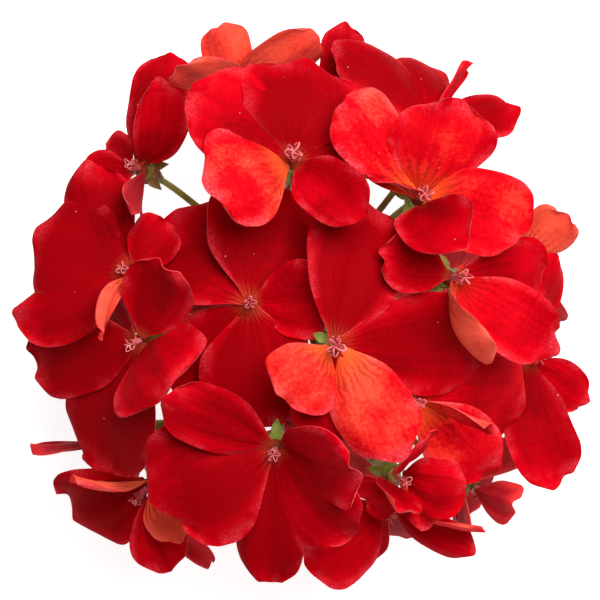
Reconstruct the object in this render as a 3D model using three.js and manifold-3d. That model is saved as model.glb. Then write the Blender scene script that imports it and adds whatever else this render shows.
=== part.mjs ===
// The flower head of a scarlet zonal geranium, cut from its plant and lying on its lowest petals.
// Units are millimetres and +Z is up. The head frame has its origin at the hub, where the flower
// stalk splits into pedicels: x runs right, y up and z towards a viewer who looks down on the dome.
import * as THREE from 'three';
import { mergeVertices } from 'three/addons/utils/BufferGeometryUtils.js';
import Module from 'manifold-3d';

const wasm = await Module();
wasm.setup();

// Driving dimensions
const HEAD_SHIFT_X = -0.7; // the hub's place over the middle of the whole head
const HEAD_SHIFT_Y = 1.68;
const HUB_HEIGHT = 37; // from the surface that the head lies on to the hub
const PETAL_THICKNESS = 0.7;
const CLAW_START = 2.0; // distance from the throat's axis to where a petal starts
const PETAL_LAP = 10; // degrees that each petal tilts, so that its edge laps over the next
const TIP_ROUNDING = 0.055; // how far the corners of a petal stay behind its middle
const PETAL_WAVE = 0.7; // height of the low waves at a petal's end
const WAVES_ACROSS = 1.3; // half waves from a petal's middle to its edge
const BLOOM_PHASE = 0.7; // how far the waves shift from bloom to bloom
const PETAL_PHASE = 0.37; // and from petal to petal
const CORE_RADIUS = 2.5; // the receptacle in the middle of a bloom, widest at the throat's centre
const CORE_BACK = 1.5; // how far it reaches behind that centre
const CORE_BACK_RADIUS = 1.75;
const CORE_FRONT = 0.9; // and in front of it
const CORE_FRONT_RADIUS = 1.5;
const CORE_SIDES = 6;
const SEAT_GAP = 0.35; // clearance between pieces that sit on each other
const PEDICEL_RADIUS = 0.65;
const CALYX_RADIUS = 2.1;
const CALYX_FRONT = CORE_BACK + SEAT_GAP; // how far behind the throat's centre the calyx ends
const CALYX_BACK = 7.5; // and where its pedicel starts
const PEDICEL_SIDES = 5;
const PEDICEL_STEPS = 3;
const PEDICEL_SWING = 0.45; // how early a pedicel turns into line with its bloom
const CALYX_LAP = 1.0; // how far the calyx reaches down over its pedicel
const CALYX_WALL = 2.0; // height of the calyx rim, out of which the sepals grow
const CALYX_RIM_RADIUS = 2.2;
const CALYX_FOOT_RADIUS = 0.75;
const SEPAL_COUNT = 5;
const SEPAL_REACH = 6.0; // from the bloom's axis to a sepal's tip
const SEPAL_DROP = 3.6; // how far a sepal's tip lies behind the calyx rim
const BRACT_COUNT = 6;
const BRACT_REACH = 7.5; // from the stalk's axis to a bract's tip
const BRACT_DROP = 4.2; // how far a bract's tip lies below the top of the ring
const BRACT_RING_FOOT = -8; // heights from the middle of the hub
const BRACT_RING_WIDEST = -5.2;
const BRACT_RING_TOP = -2;
const BRACT_RING_RADIUS = 4.3;
const STALK_RADIUS = 2.0;
const STALK_CUT_RADIUS = 2.2;
const STALK_SIDES = 6;
const HUB_RADIUS = 4.2;
const HUB_SIDES = 6;
const HUB_RINGS = 4;
const PEDICEL_ROOT = 3.2; // where the pedicels start, from the middle of the hub
const COLUMN_RADIUS = 0.45;
const COLUMN_FOOT_RADIUS = 0.72;
const COLUMN_SIDES = 3;
const COLUMN_LENGTH = 3.6;
const LOBE_LENGTH = 1.9;
const LOBE_THICKNESS = 0.6;
const LOBE_NOTCH = 0.58; // from the column's axis to the notch between two lobes
const LOBE_COUNT = 5;
const SAME_POINT = 1e-4; // corners closer than this are one corner
const SHORTEST_EDGE = 2e-3;
const THINNEST_TRIANGLE = 2e-4;
const SLAB_WIDTH = 200; // the block below the surface that trims the lowest petals
const SLAB_DEPTH = 20;

// Half width of a petal along its length: how far along, and the share of the full half width
const PETAL_OUTLINE = [
  [0, 0.17], [0.12, 0.5], [0.3, 0.84], [0.5, 1],
  [0.7, 1.04], [0.85, 0.96], [0.95, 0.75], [1, 0.5],
];
// Rows of points from claw to tip: how far along, and how many points the row has
const PETAL_ROWS = [[0, 2], [0.25, 3], [0.55, 3], [0.83, 5], [1, 3]];
const UNDERSIDE_ROWS = [[0, 2], [0.35, 3], [0.78, 3], [1, 2]];
const UNDERSIDE_HEIGHT = -8; // petals whose tips lie lower than this are on the head's underside

// Each bloom: its throat, the way that it faces, and its petals as
// [tip x, tip y, tip z, width, arch, cup, roll in degrees, sideways bend]
const BLOOMS = {
  a: {
    throat: [-1.4, 28, 29], face: [0, 0.35, 1],
    petals: [
      [-22.5, 40.5, 33, 20, 1, 1, 0, 0],
      [1, 47.5, 22, 25, 2.5, 0.5, 0, 0],
      [14.5, 37, 22, 20, 1, 0.5, 0, 0],
      [-18.5, 22.5, 42, 20, 1.5, -2, -20, 0],
      [12.6, 15.8, 42, 12.5, 1.5, 2, 0, 0],
    ],
  },
  b: {
    throat: [24, 20.5, 25], face: [0.25, 0.15, 1],
    petals: [
      [8.5, 40.5, 33, 15.5, 2, -1.5, 0, 0],
      [31, 40, 32, 21, 2, -1, 0, 0],
      [45, 13, 28, 17, 2, 1, 0, -1.5],
      [33, 10.5, 42, 15, 1, 3, 0, 2],
      [13.8, 24.2, 37, 11.5, 1, 0, 70, 0],
    ],
  },
  c: {
    throat: [-12, 43, -2], face: [0, 0.8, -0.6],
    petals: [
      [-16.4, 55.4, 8, 8, -1, 1, 0, 0],
      [3.8, 53.2, 8, 15, -1, 1, 0, 1],
      [-24, 46.8, 24, 10.5, -1, 1, 0, 0],
      [1, 41, -21, 18, -1, 1, 0, 0],
      [-20, 38, -22, 18, -1, 1, 0, 0],
    ],
  },
  d: {
    throat: [-32.5, 26.5, 5], face: [-0.5, 0.25, 0.8],
    petals: [
      [-28.2, 44.4, 14.5, 10.5, 3, 2, 40, 1.5],
      [-26.8, 50, -3, 13, 1, 0, 0, 1],
      [-41, 28.5, -2, 13, 1, 0, 0, 0],
      [-32.2, 17, 34, 6, 1, 1, 70, 0],
      [-43, 22.5, 2, 12, 1, 1, 0, 0],
    ],
  },
  e: {
    throat: [-34.5, 6, 19], face: [-0.35, 0.1, 0.95],
    petals: [
      [-53, 13.3, 12, 22, 1, -1, 0, 0],
      [-41.5, 27.8, 12, 14, 0, -2, 0, -2],
      [-25.8, 15.4, 19.5, 10.5, 0.5, 0.5, 0, 0],
      [-57.4, -3, 13, 13, 2, -1.5, 0, -3.5],
      [-39.5, -7.5, 34, 8, 1, 2, 68, 0],
    ],
  },
  f: {
    throat: [-32, -8, 21], face: [-0.6, -0.3, 0.75],
    petals: [
      [-54, -12.5, 5, 17, 1, 0, 0, 0],
      [-40, -34, 8, 24, 2, 0, 0, 0],
      [-26.5, 7, 33, 13, -1, 1, 0, 0],
      [-26.5, -18.5, 34, 22, 2, -1.5, -40, 0],
      [-44, 2, 2, 12, 0, 0, 0, 0],
    ],
  },
  g: {
    throat: [-10, -0.6, 25], face: [0, 0, 1],
    petals: [
      [-26.5, 17, 14.5, 24, 1, -1, 0, 0],
      [-4, 22.5, 19, 26, 1, 0, 0, 0],
      [6, 0.5, 31, 15.5, 1, 0, 0, 0],
      [-22.5, -21.5, 16.5, 21.8, 0.5, -2.5, 0, 0],
      [-6, -24, 22, 24, 1, 0, 0, 0],
    ],
  },
  h: {
    throat: [7, -8.6, 36], face: [0, -0.1, 1],
    petals: [
      [13.5, 19.5, 28, 20, 2, 0.5, 0, 0],
      [38, -8, 17.5, 22, 1.5, -0.5, 0, 0],
      [19, -31.5, 36, 15, 2, -2, 0, 0],
      [-3.5, -20, 38, 16, 2, -2, -20, 0],
      [6, -29, 30, 15, 1, 1, 0, 0],
    ],
  },
  j: {
    throat: [30.5, 4.5, 28], face: [0.55, 0, 0.8],
    petals: [
      [38.5, -8.5, 44, 13.5, -3.5, 1, -62, -2],
      [49, 4, 17, 17, 2, 1, 0, 0],
      [51.5, -9.5, 27, 14, 4, 1, 0, 1],
      [42, -11, 23, 12, 2, 1, 0, 0],
      [16, 9, 36, 11.5, -0.5, 1, -5, 0],
    ],
  },
  k: {
    throat: [-5, -29.6, 27], face: [-0.1, -0.4, 0.9],
    petals: [
      [-28, -42, 24, 26, 3, -0.5, 0, 1],
      [-27, -19.2, 37, 13, 1, 0, 0, 0],
      [11.5, -34, 42, 18, 1, 1, 0, 0],
      [10.5, -47.5, 26, 18, 3, -0.5, 0, 0],
      [-6.4, -57, 18, 14, 2, -1, 0, 0],
    ],
  },
  l: {
    throat: [-31, -38, 2], face: [-0.55, -0.6, 0.1],
    petals: [
      [-46.5, -42, -8, 20, 3, 0, 0, 0],
      [-27, -55, 2, 12, 1, 0, -70, 0],
      [-45.5, -36, 12, 10, 1, 0, 0, 0],
      [-18.5, -54, -10, 12, 1, 0, -30, 0],
      [-24, -48.5, 10, 9, 1, 0, 60, 0],
    ],
  },
  m: {
    throat: [18, -42, 2], face: [0.1, -0.45, 0.8],
    petals: [
      [0.5, -52.5, 7, 18, 2, 0, 0, 0],
      [35.5, -50.5, 2, 9, 1, 0, 0, 0],
      [37, -46.2, 12, 9, 1, 0, 50, 0],
      [3, -50, -16, 17, 1, 0, 0, 0],
      [20, -48, -20, 16, 1, 0, 0, 0],
    ],
  },
  n: {
    throat: [19.5, -35.5, 18], face: [0.5, -0.3, 0.8],
    petals: [
      [25, -27.5, 30, 12, 1, 0, 20, 0],
      [33.5, -38, 22, 13, 2, 0, 0, 0],
      [29, -41.5, 12, 12, 1, 2, 0, 0],
      [20, -42, 27, 11, 0, 1, 15, 0],
      [12, -40, 14, 12, 1, 0, 0, 0],
    ],
  },
  p: {
    throat: [23, -20, 22], face: [0.3, -0.2, 0.9],
    petals: [
      [44.5, -22.5, 3, 21, 2, -1, -6, -2],
      [38.5, -34.8, 10, 15, 1, -1, 0, 0],
      [38.5, -25.8, 28, 9, 0, 0, 60, 0],
      [12, -26, 20, 15, 0, 0, 0, 0],
      [26, -2, 20, 15, 0, 0, 0, 0],
    ],
  },
  q: {
    throat: [46, -11.5, 0], face: [0.7, -0.1, 0.7],
    petals: [
      [53, -37.2, -2, 14, 2, 0, 20, 2],
      [50.8, 9.2, 6, 11, 1, 0, 0, 0],
      [58.2, -20.8, -8, 9, 1, 0, 0, 0],
      [44, -20, -20, 14, 1, 0, 0, 0],
      [39, -1, -6, 12, 1, 0, 0, 0],
    ],
  },
  r: {
    throat: [45, 8, -7], face: [0.55, 0.45, -0.7],
    petals: [
      [53.8, 17.2, 3, 10, 0, 2, 0, 0],
      [37, 18, -22, 14, 0, 1, 0, 0],
      [50, -5, -21, 12, 0, 1, 0, 0],
      [40, 8, -25, 13, 0, 1, 0, 0],
      [40, 20, -10, 10, 0, 1, 0, 0],
    ],
  },
  s: {
    throat: [34.5, -38, -8], face: [0.5, -0.35, -0.7],
    petals: [
      [43.2, -41.6, 2, 8.5, 0, 2, 0, 0],
      [42, -28, -20, 14, 0, 1, 0, 0],
      [32, -47, -16, 12, 0, 1, 0, 0],
      [36, -32, -27, 13, 0, 1, 0, 0],
      [36, -42, -26, 13, 0, 1, 0, 0],
    ],
  },
  t: {
    throat: [26, 36, 8], face: [0.2, 0.6, 0.7],
    petals: [
      [7, 51.5, 8, 16, 2, -1, 0, 0],
      [20.5, 49, -4, 16, 2, -1, 0, 0],
      [44, 38.4, 2, 10, 2, -1, 0, 1],
      [34.2, 47.8, 0, 7, 0, 0, 75, 0],
      [12, 36, 17, 14, 0, 0, 0, 0],
    ],
  },
  u: {
    throat: [7, 38, 0], face: [0, 0.35, 0.9],
    petals: [
      [7.5, 51.6, 1, 7, 1, 0, 0, 0],
      [9.5, 56, -2, 9, 0, 0, 0, 0],
      [-7.5, 35, -9, 11, 0, 0, 0, 0],
      [22, 38, -12, 15, 0, 0, 0, 0],
      [15, 44, -17, 14, 0, 0, 0, 0],
    ],
  },
  v: {
    throat: [-34, -28, -6], face: [-0.7, -0.3, -0.3],
    petals: [
      [-54.8, -29.8, -6, 9, 1, 0, 30, 0],
      [-47, -14, -12, 16, 1, 0, 0, 0],
      [-34, -34, -26, 14, 1, 0, 0, 0],
      [-40, -16, -22, 14, 1, 0, 0, 0],
      [-44, -31, -20, 13, 1, 0, 0, 0],
    ],
  },
  w: {
    throat: [-4, 27, -20], face: [0, 0.55, -0.83],
    petals: [
      [-20, 31, -36.8, 16, 1, 0, 0, 0],
      [-4, 46, -31, 18, 1, 0, 0, 0],
      [13, 34, -37.8, 17, 1, 0, 0, 0],
      [7, 14, -37.5, 15, 1, 0, 0, 0],
      [-13, 13, -37.5, 15, 1, 0, 0, 0],
    ],
  },
  x: {
    throat: [-28, -4, -20], face: [-0.55, -0.05, -0.83],
    petals: [
      [-34, 15, -37, 17, 1, 0, 0, 0],
      [-13, 0.5, -36.6, 15, 1, 0, 0, 0],
      [-17, -16, -37.5, 15, 1, 0, 0, 0],
      [-36, -18, -37.5, 16, 1, 0, 0, 0],
      [-47, 0, -30, 17, 1, 0, 0, 0],
    ],
  },
  y: {
    throat: [3, -28, -20], face: [0.05, -0.55, -0.83],
    petals: [
      [-14, -34, -35, 16, 1, 0, 0, 0],
      [-6, -14, -37.5, 14, 1, 0, 0, 0],
      [12, -16, -37.5, 14, 1, 0, 0, 0],
      [20, -36, -37.5, 16, 1, 0, 0, 0],
      [3, -47, -32, 17, 1, 0, 0, 0],
    ],
  },
  z: {
    throat: [28, -2, -20], face: [0.55, 0, -0.83],
    petals: [
      [33, 17, -37.9, 16, 1, 0, 0, 0],
      [46, 2, -32, 17, 1, 0, 0, 0],
      [36, -20, -37.8, 16, 1, 0, 0, 0],
      [17, -12, -35, 12, 1, 0, 0, 0],
      [17, 9, -37.5, 14, 1, 0, 0, 0],
    ],
  },
};

const red = new THREE.MeshStandardMaterial({ color: '#c8101c', roughness: 0.6, metalness: 0 });
const green = new THREE.MeshStandardMaterial({ color: '#7f8a35', roughness: 0.7, metalness: 0 });
const pink = new THREE.MeshStandardMaterial({ color: '#d98a86', roughness: 0.6, metalness: 0 });

function vector(values) {
  return new THREE.Vector3(values[0], values[1], values[2]);
}

function outlineWidth(along) {
  const next = Math.max(1, PETAL_OUTLINE.findIndex(([place]) => place >= along));
  const [v0, w0] = PETAL_OUTLINE[next - 1];
  const [v1, w1] = PETAL_OUTLINE[next];
  return w0 + ((w1 - w0) * (along - v0)) / (v1 - v0);
}

// The grid of points of a petal's middle surface, from its claw to its tip
function petalGrid(bloom, row, phase) {
  const [tipX, tipY, tipZ, width, arch, cup, roll, bend] = row;
  const throat = vector(bloom.throat);
  const face = vector(bloom.face).normalize();
  const out = new THREE.Vector3(tipX, tipY, tipZ).sub(throat);
  const flat = out.clone().addScaledVector(face, -out.dot(face)).normalize();
  const base = throat.clone().addScaledVector(flat, CLAW_START);
  const chord = new THREE.Vector3(tipX, tipY, tipZ).sub(base);
  const along = chord.clone().normalize();
  const side = along.clone().cross(face).normalize();
  side.applyAxisAngle(along, THREE.MathUtils.degToRad(roll + PETAL_LAP));
  const up = side.clone().cross(along);
  const bow = up.clone().multiplyScalar(arch).addScaledVector(side, bend);
  const rows = tipZ < UNDERSIDE_HEIGHT ? UNDERSIDE_ROWS : PETAL_ROWS;
  return rows.map(([v, count]) => {
    const half = (width / 2) * outlineWidth(v);
    const points = [];
    for (let column = 0; column < count; column += 1) {
      const u = (2 * column) / (count - 1) - 1;
      const s = v - TIP_ROUNDING * u * u * v;
      const point = base.clone().addScaledVector(chord, s).addScaledVector(bow, 4 * s * (1 - s));
      const line = chord.clone().addScaledVector(bow, 4 * (1 - 2 * s)).normalize();
      const across = side.clone().addScaledVector(line, -side.dot(line)).normalize();
      const normal = across.clone().cross(line);
      const wave = PETAL_WAVE * v * v * Math.sin(Math.PI * (WAVES_ACROSS * u + phase));
      const rise = (cup * u * u * half * 2) / width + wave;
      points.push(point.addScaledVector(across, half * u).addScaledVector(normal, rise));
    }
    return points;
  });
}

// The triangles between two neighbouring rows of a blade, which may differ in their number of points
function stripFaces(near, nearCount, far, farCount) {
  const faces = [];
  let [i, j] = [0, 0];
  while (i < nearCount - 1 || j < farCount - 1) {
    const nearNext = (i + 1) / (nearCount - 1);
    const farNext = (j + 1) / (farCount - 1);
    if (j < farCount - 1 && (i === nearCount - 1 || farNext <= nearNext)) {
      faces.push([near + i, far + j + 1, far + j]);
      j += 1;
    } else {
      faces.push([near + i, near + i + 1, far + j]);
      i += 1;
    }
  }
  return faces;
}

// A closed blade of even thickness round rows of points, split alike on both faces
function bladeSolid(grid, thickness) {
  const starts = [];
  const middle = [];
  grid.forEach((row) => {
    starts.push(middle.length);
    middle.push(...row);
  });
  const half = [];
  for (let row = 0; row < grid.length - 1; row += 1) {
    half.push(...stripFaces(starts[row], grid[row].length, starts[row + 1], grid[row + 1].length));
  }
  const normals = middle.map(() => new THREE.Vector3());
  half.forEach((face) => {
    const [a, b, c] = face.map((corner) => middle[corner]);
    const normal = b.clone().sub(a).cross(c.clone().sub(a));
    face.forEach((corner) => normals[corner].add(normal));
  });
  normals.forEach((normal) => normal.setLength(thickness / 2));
  const upper = middle.map((point, k) => point.clone().add(normals[k]));
  const lower = middle.map((point, k) => point.clone().sub(normals[k]));
  const shift = middle.length;
  const rim = grid[0].map((point, j) => j);
  for (let i = 1; i < grid.length - 1; i += 1) rim.push(starts[i] + grid[i].length - 1);
  for (let j = grid.at(-1).length - 1; j >= 0; j -= 1) rim.push(starts.at(-1) + j);
  for (let i = grid.length - 2; i > 0; i -= 1) rim.push(starts[i]);
  const faces = half.concat(half.map(([a, b, c]) => [c + shift, b + shift, a + shift]));
  rim.forEach((a, index) => {
    const b = rim[(index + 1) % rim.length];
    faces.push([a, a + shift, b + shift], [a, b + shift, b]);
  });
  const geometry = new THREE.BufferGeometry().setFromPoints(upper.concat(lower));
  geometry.setIndex(faces.flat());
  return geometry;
}

function toSolid(geometry) {
  const plain = geometry.clone();
  plain.deleteAttribute('normal');
  plain.deleteAttribute('uv');
  const merged = mergeVertices(plain, SAME_POINT);
  const mesh = new wasm.Mesh({
    numProp: 3,
    vertProperties: new Float32Array(merged.getAttribute('position').array),
    triVerts: new Uint32Array(merged.getIndex().array),
  });
  mesh.merge();
  return new wasm.Manifold(mesh);
}

// Corners that lie closer than the shortest edge are made one, and what collapses goes
function withoutShortEdges(geometry) {
  const welded = mergeVertices(geometry, SHORTEST_EDGE);
  const corners = Array.from(welded.getIndex().array);
  const kept = [];
  for (let t = 0; t < corners.length; t += 3) {
    const triangle = corners.slice(t, t + 3);
    if (new Set(triangle).size === 3) kept.push(...triangle);
  }
  welded.setIndex(kept);
  return welded;
}

// A triangle whose corner lies on its longest edge gives that edge up: the neighbour is split there
function withoutThinTriangles(geometry) {
  const places = geometry.getAttribute('position');
  const corners = Array.from(geometry.getIndex().array);
  const at = (k) => new THREE.Vector3().fromBufferAttribute(places, k);
  for (let t = 0; t < corners.length; t += 3) {
    const points = corners.slice(t, t + 3).map(at);
    const edges = points.map((point, k) => point.distanceTo(points[(k + 1) % 3]));
    const longest = edges.indexOf(Math.max(...edges));
    const area = new THREE.Triangle(...points).getArea();
    if ((2 * area) / edges[longest] < THINNEST_TRIANGLE) {
      const [a, c, b] = [0, 1, 2].map((k) => corners[t + ((longest + k) % 3)]);
      const next = corners.findIndex((corner, k) => corner === c
        && corners[k - (k % 3) + ((k + 1) % 3)] === a);
      const other = next - (next % 3);
      const d = corners[other + ((next + 2) % 3)];
      corners.splice(t, 3, a, d, b);
      corners.splice(other, 3, d, c, b);
    }
  }
  geometry.setIndex(corners);
  return geometry;
}

function toGeometry(solid) {
  const mesh = solid.getMesh();
  const plain = new THREE.BufferGeometry();
  plain.setAttribute('position', new THREE.BufferAttribute(new Float32Array(mesh.vertProperties), 3));
  plain.setIndex(new THREE.BufferAttribute(new Uint32Array(mesh.triVerts), 1));
  const geometry = withoutThinTriangles(withoutShortEdges(plain));
  geometry.computeVertexNormals();
  return geometry;
}

function join(solids) {
  return solids.reduce((whole, solid) => whole.add(solid));
}

// Turns a shape made along +Z so that it points along a direction, and moves it to a place
function aim(geometry, direction, place) {
  const turn = new THREE.Quaternion().setFromUnitVectors(new THREE.Vector3(0, 0, 1), direction);
  geometry.applyQuaternion(turn);
  geometry.translate(place.x, place.y, place.z);
  return geometry;
}

// A round body about +Z from a profile of [radius, height] pairs
function turned(profile, sides) {
  const geometry = new THREE.LatheGeometry(profile.map(([r, h]) => new THREE.Vector2(r, h)), sides);
  geometry.rotateX(Math.PI / 2);
  return geometry;
}

function bloomSolid(bloom, index) {
  const core = turned([
    [0, -CORE_BACK], [CORE_BACK_RADIUS, -CORE_BACK], [CORE_RADIUS, 0],
    [CORE_FRONT_RADIUS, CORE_FRONT], [0, CORE_FRONT],
  ], CORE_SIDES);
  const petals = bloom.petals.map((row, place) => {
    const phase = BLOOM_PHASE * index + PETAL_PHASE * place;
    return toSolid(bladeSolid(petalGrid(bloom, row, phase), PETAL_THICKNESS));
  });
  return join([toSolid(aim(core, vector(bloom.face).normalize(), vector(bloom.throat))), ...petals]);
}

// The line that a pedicel follows from the hub to the back of its bloom
function pedicelLine(bloom) {
  const face = vector(bloom.face).normalize();
  const throat = vector(bloom.throat);
  const end = throat.clone().addScaledVector(face, -CALYX_BACK);
  const control = throat.clone().addScaledVector(face, -throat.length() * PEDICEL_SWING);
  const start = control.clone().normalize().multiplyScalar(PEDICEL_ROOT);
  return new THREE.QuadraticBezierCurve3(start, control, end);
}

function pedicelSolid(bloom) {
  const outline = new THREE.Shape();
  for (let side = 0; side < PEDICEL_SIDES; side += 1) {
    const angle = (2 * Math.PI * side) / PEDICEL_SIDES;
    const [x, y] = [PEDICEL_RADIUS * Math.cos(angle), PEDICEL_RADIUS * Math.sin(angle)];
    if (side === 0) outline.moveTo(x, y);
    else outline.lineTo(x, y);
  }
  return toSolid(new THREE.ExtrudeGeometry(outline, {
    steps: PEDICEL_STEPS, extrudePath: pedicelLine(bloom), curveSegments: 1,
  }));
}

// A turned cup whose widest ring, its rim, is drawn out into points that lean back
function pointedCup(profile, points, reach, drop) {
  const cup = turned(profile, 2 * points);
  const rim = Math.max(...profile.map(([radius]) => radius)) - SAME_POINT;
  const places = cup.getAttribute('position');
  for (let k = 0; k < places.count; k += 1) {
    const point = new THREE.Vector3().fromBufferAttribute(places, k);
    const radius = Math.hypot(point.x, point.y);
    const around = Math.round((Math.atan2(point.x, -point.y) * points) / Math.PI);
    if (radius > rim && around % 2 === 0) {
      places.setXYZ(k, (point.x * reach) / radius, (point.y * reach) / radius, point.z - drop);
    }
  }
  return cup;
}

// The calyx narrows to its pedicel, and its rim is drawn out into five sepals
function calyxSolid(bloom) {
  const cup = pointedCup([
    [0, -CALYX_BACK - CALYX_LAP], [CALYX_FOOT_RADIUS, -CALYX_BACK - CALYX_LAP],
    [CALYX_RADIUS, -CALYX_FRONT - CALYX_WALL], [CALYX_RIM_RADIUS, -CALYX_FRONT], [0, -CALYX_FRONT],
  ], SEPAL_COUNT, SEPAL_REACH, SEPAL_DROP);
  return toSolid(aim(cup, vector(bloom.face).normalize(), vector(bloom.throat)));
}

// The small bracts in a ring under the hub
function bractSolid() {
  return toSolid(pointedCup([
    [0, BRACT_RING_FOOT], [STALK_CUT_RADIUS, BRACT_RING_FOOT], [HUB_RADIUS, BRACT_RING_WIDEST],
    [BRACT_RING_RADIUS, BRACT_RING_TOP], [0, BRACT_RING_TOP],
  ], BRACT_COUNT, BRACT_REACH, BRACT_DROP));
}

// Stalk, hub, bracts, pedicels and calyces grew as one body
function skeletonSolid() {
  const stalk = turned([
    [0, -HUB_HEIGHT], [STALK_CUT_RADIUS, -HUB_HEIGHT], [STALK_RADIUS, -HUB_RADIUS], [0, 0],
  ], STALK_SIDES);
  const hub = new THREE.SphereGeometry(HUB_RADIUS, HUB_SIDES, HUB_RINGS);
  const solids = [toSolid(stalk), toSolid(hub), bractSolid()];
  Object.values(BLOOMS).forEach((bloom) => {
    solids.push(pedicelSolid(bloom), calyxSolid(bloom));
  });
  return join(solids);
}

// Stamens and style stand together in the throat, with five curled stigma lobes at the end
function columnSolid(bloom) {
  const face = vector(bloom.face).normalize();
  const throat = vector(bloom.throat);
  const foot = CORE_FRONT + SEAT_GAP;
  const neck = foot + COLUMN_LENGTH;
  const post = turned([
    [0, foot], [COLUMN_FOOT_RADIUS, foot], [COLUMN_RADIUS, neck], [0, neck],
  ], COLUMN_SIDES);
  const star = new THREE.Shape();
  for (let corner = 0; corner < 2 * LOBE_COUNT; corner += 1) {
    const reach = corner % 2 === 0 ? LOBE_LENGTH : LOBE_NOTCH;
    const angle = (Math.PI * corner) / LOBE_COUNT;
    const [x, y] = [reach * Math.cos(angle), reach * Math.sin(angle)];
    if (corner === 0) star.moveTo(x, y);
    else star.lineTo(x, y);
  }
  const lobes = new THREE.ExtrudeGeometry(star, { depth: LOBE_THICKNESS, bevelEnabled: false });
  lobes.translate(0, 0, neck - LOBE_THICKNESS / 2);
  return join([post, lobes].map((shape) => toSolid(aim(shape, face, throat))));
}

// What the surface cuts flat: the lowest petals press on it with small flat spots
function aboveSurface(solid) {
  const below = new THREE.BoxGeometry(SLAB_WIDTH, SLAB_WIDTH, SLAB_DEPTH);
  below.translate(0, 0, -HUB_HEIGHT - SLAB_DEPTH / 2);
  return solid.subtract(toSolid(below));
}

// Only the largest body of a piece is kept, so no scrap hangs loose
function largestBody(solid) {
  return solid.decompose().sort((a, b) => b.volume() - a.volume())[0];
}

function piece(name, solid, material) {
  const mesh = new THREE.Mesh(toGeometry(largestBody(aboveSurface(solid))), material);
  mesh.name = name;
  return mesh;
}

const head = new THREE.Group();
head.position.set(HEAD_SHIFT_X, HEAD_SHIFT_Y, HUB_HEIGHT);
head.add(piece('flower_stalk', skeletonSolid(), green));
Object.entries(BLOOMS).forEach(([name, bloom], index) => {
  head.add(piece(`bloom_${name}`, bloomSolid(bloom, index), red));
  head.add(piece(`column_${name}`, columnSolid(bloom), pink));
});

const flowerHead = new THREE.Group();
flowerHead.add(head);
export default flowerHead;
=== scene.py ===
"""The looks of a scarlet zonal geranium's flower head, which lies on its lowest petals.

Lengths in the tables are millimetres in the head's own frame: its origin is the hub, where the stalk
splits into pedicels, x runs right, y up and z towards a viewer who looks down on the dome.
"""

import math

import bmesh
import bpy
import numpy as np
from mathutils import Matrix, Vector


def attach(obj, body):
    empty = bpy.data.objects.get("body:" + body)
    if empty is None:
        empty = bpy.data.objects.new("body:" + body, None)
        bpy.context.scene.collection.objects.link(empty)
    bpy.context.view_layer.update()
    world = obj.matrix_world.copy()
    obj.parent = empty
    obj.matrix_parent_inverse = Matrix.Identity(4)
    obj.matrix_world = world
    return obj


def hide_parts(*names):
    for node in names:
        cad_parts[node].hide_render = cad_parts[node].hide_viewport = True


bl_info = {
    "name": "Geranium flower head",
    "version": (1, 0, 0),
    "blender": (4, 5, 0),
    "location": "3D View > Sidebar > Flower head",
    "description": "Builds petals, stamens, calyces, stems and hairs of a zonal geranium's flower head",
    "category": "Object",
}

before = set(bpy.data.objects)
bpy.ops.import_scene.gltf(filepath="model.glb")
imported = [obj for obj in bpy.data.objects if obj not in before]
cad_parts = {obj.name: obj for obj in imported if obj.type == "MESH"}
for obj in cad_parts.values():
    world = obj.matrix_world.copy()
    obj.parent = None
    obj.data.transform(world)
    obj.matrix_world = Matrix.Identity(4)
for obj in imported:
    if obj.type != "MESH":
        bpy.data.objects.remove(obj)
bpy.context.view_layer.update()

MM = 0.001
HEAD_PLACE = np.array([-0.7, 1.68, 37.0])  # the hub in the frame's own coordinates
SURFACE = -HEAD_PLACE[2]  # height of the surface that the head lies on, in the head's own frame

# What lies over a petal's own colour: veins, claw and throat markings, and painted light as a pale sheen and
# pale glints
VEIN_COLOUR = "#81000a"
CLAW_COLOUR = "#fa6a2c"
THROAT_COLOUR = "#b4683c"
SHEEN_PAINT_COLOUR = "#e86472"
GLINT_PAINT_COLOUR = "#ffc8c0"

# The shape of a petal
CLAW_START = 2.0  # distance from the throat's axis to where a petal starts to widen
PETAL_LAP = 10.0  # degrees that each petal tilts, so that its edge laps over the next
TIP_ROUNDING = 0.075  # how far a tip's corners draw back, as a share of the petal's length
FULL_WIDTH = 20.0  # narrower petals ruffle less
PETAL_WAVE = 0.7  # height of the one broad wave across a petal
WAVES_ACROSS = 1.3
BLOOM_PHASE = 0.7  # how far the waves shift from one bloom to the next
PETAL_PHASE = 0.37  # and from one petal to the next
EDGE_WANDER = 0.035  # how far the margin strays from its smooth outline, as a share of the petal
# Waves of the sides, the tip and the ruffle: each one's share, and how fast it turns across the petal,
# along it and with its phase
SIDE_WAVES = [(1, 2.2, 8, 6)]
TIP_WAVES = [(0.6, 3, 0, 7), (-0.15, 7, 0, -4)]
RUFFLE_WAVES = [(0.75, 4, 6, 5), (0.25, 8, -9, 3)]
PLEATS = (7, 2)  # pleats turn this fast across a petal, and so much faster or slower on each
MIDRIB = (0.8, 0.16)  # depth of the fold down the middle, and its width, as shares
PETAL_OUTLINE = [  # how far along, and the width there as a share of the full width
    (-0.06, 0.13), (0, 0.22), (0.12, 0.5), (0.3, 0.84), (0.5, 1),
    (0.7, 1.04), (0.85, 0.96), (0.95, 0.75), (1, 0.5),
]
ROWS_ALONG = 30
COLUMNS_ACROSS = 20
ROW_CROWDING = 1.25  # rows lie closer near the claw and the tip
COLUMN_CROWDING = 0.45  # columns lie closer near both margins, as a share of a half turn

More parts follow.
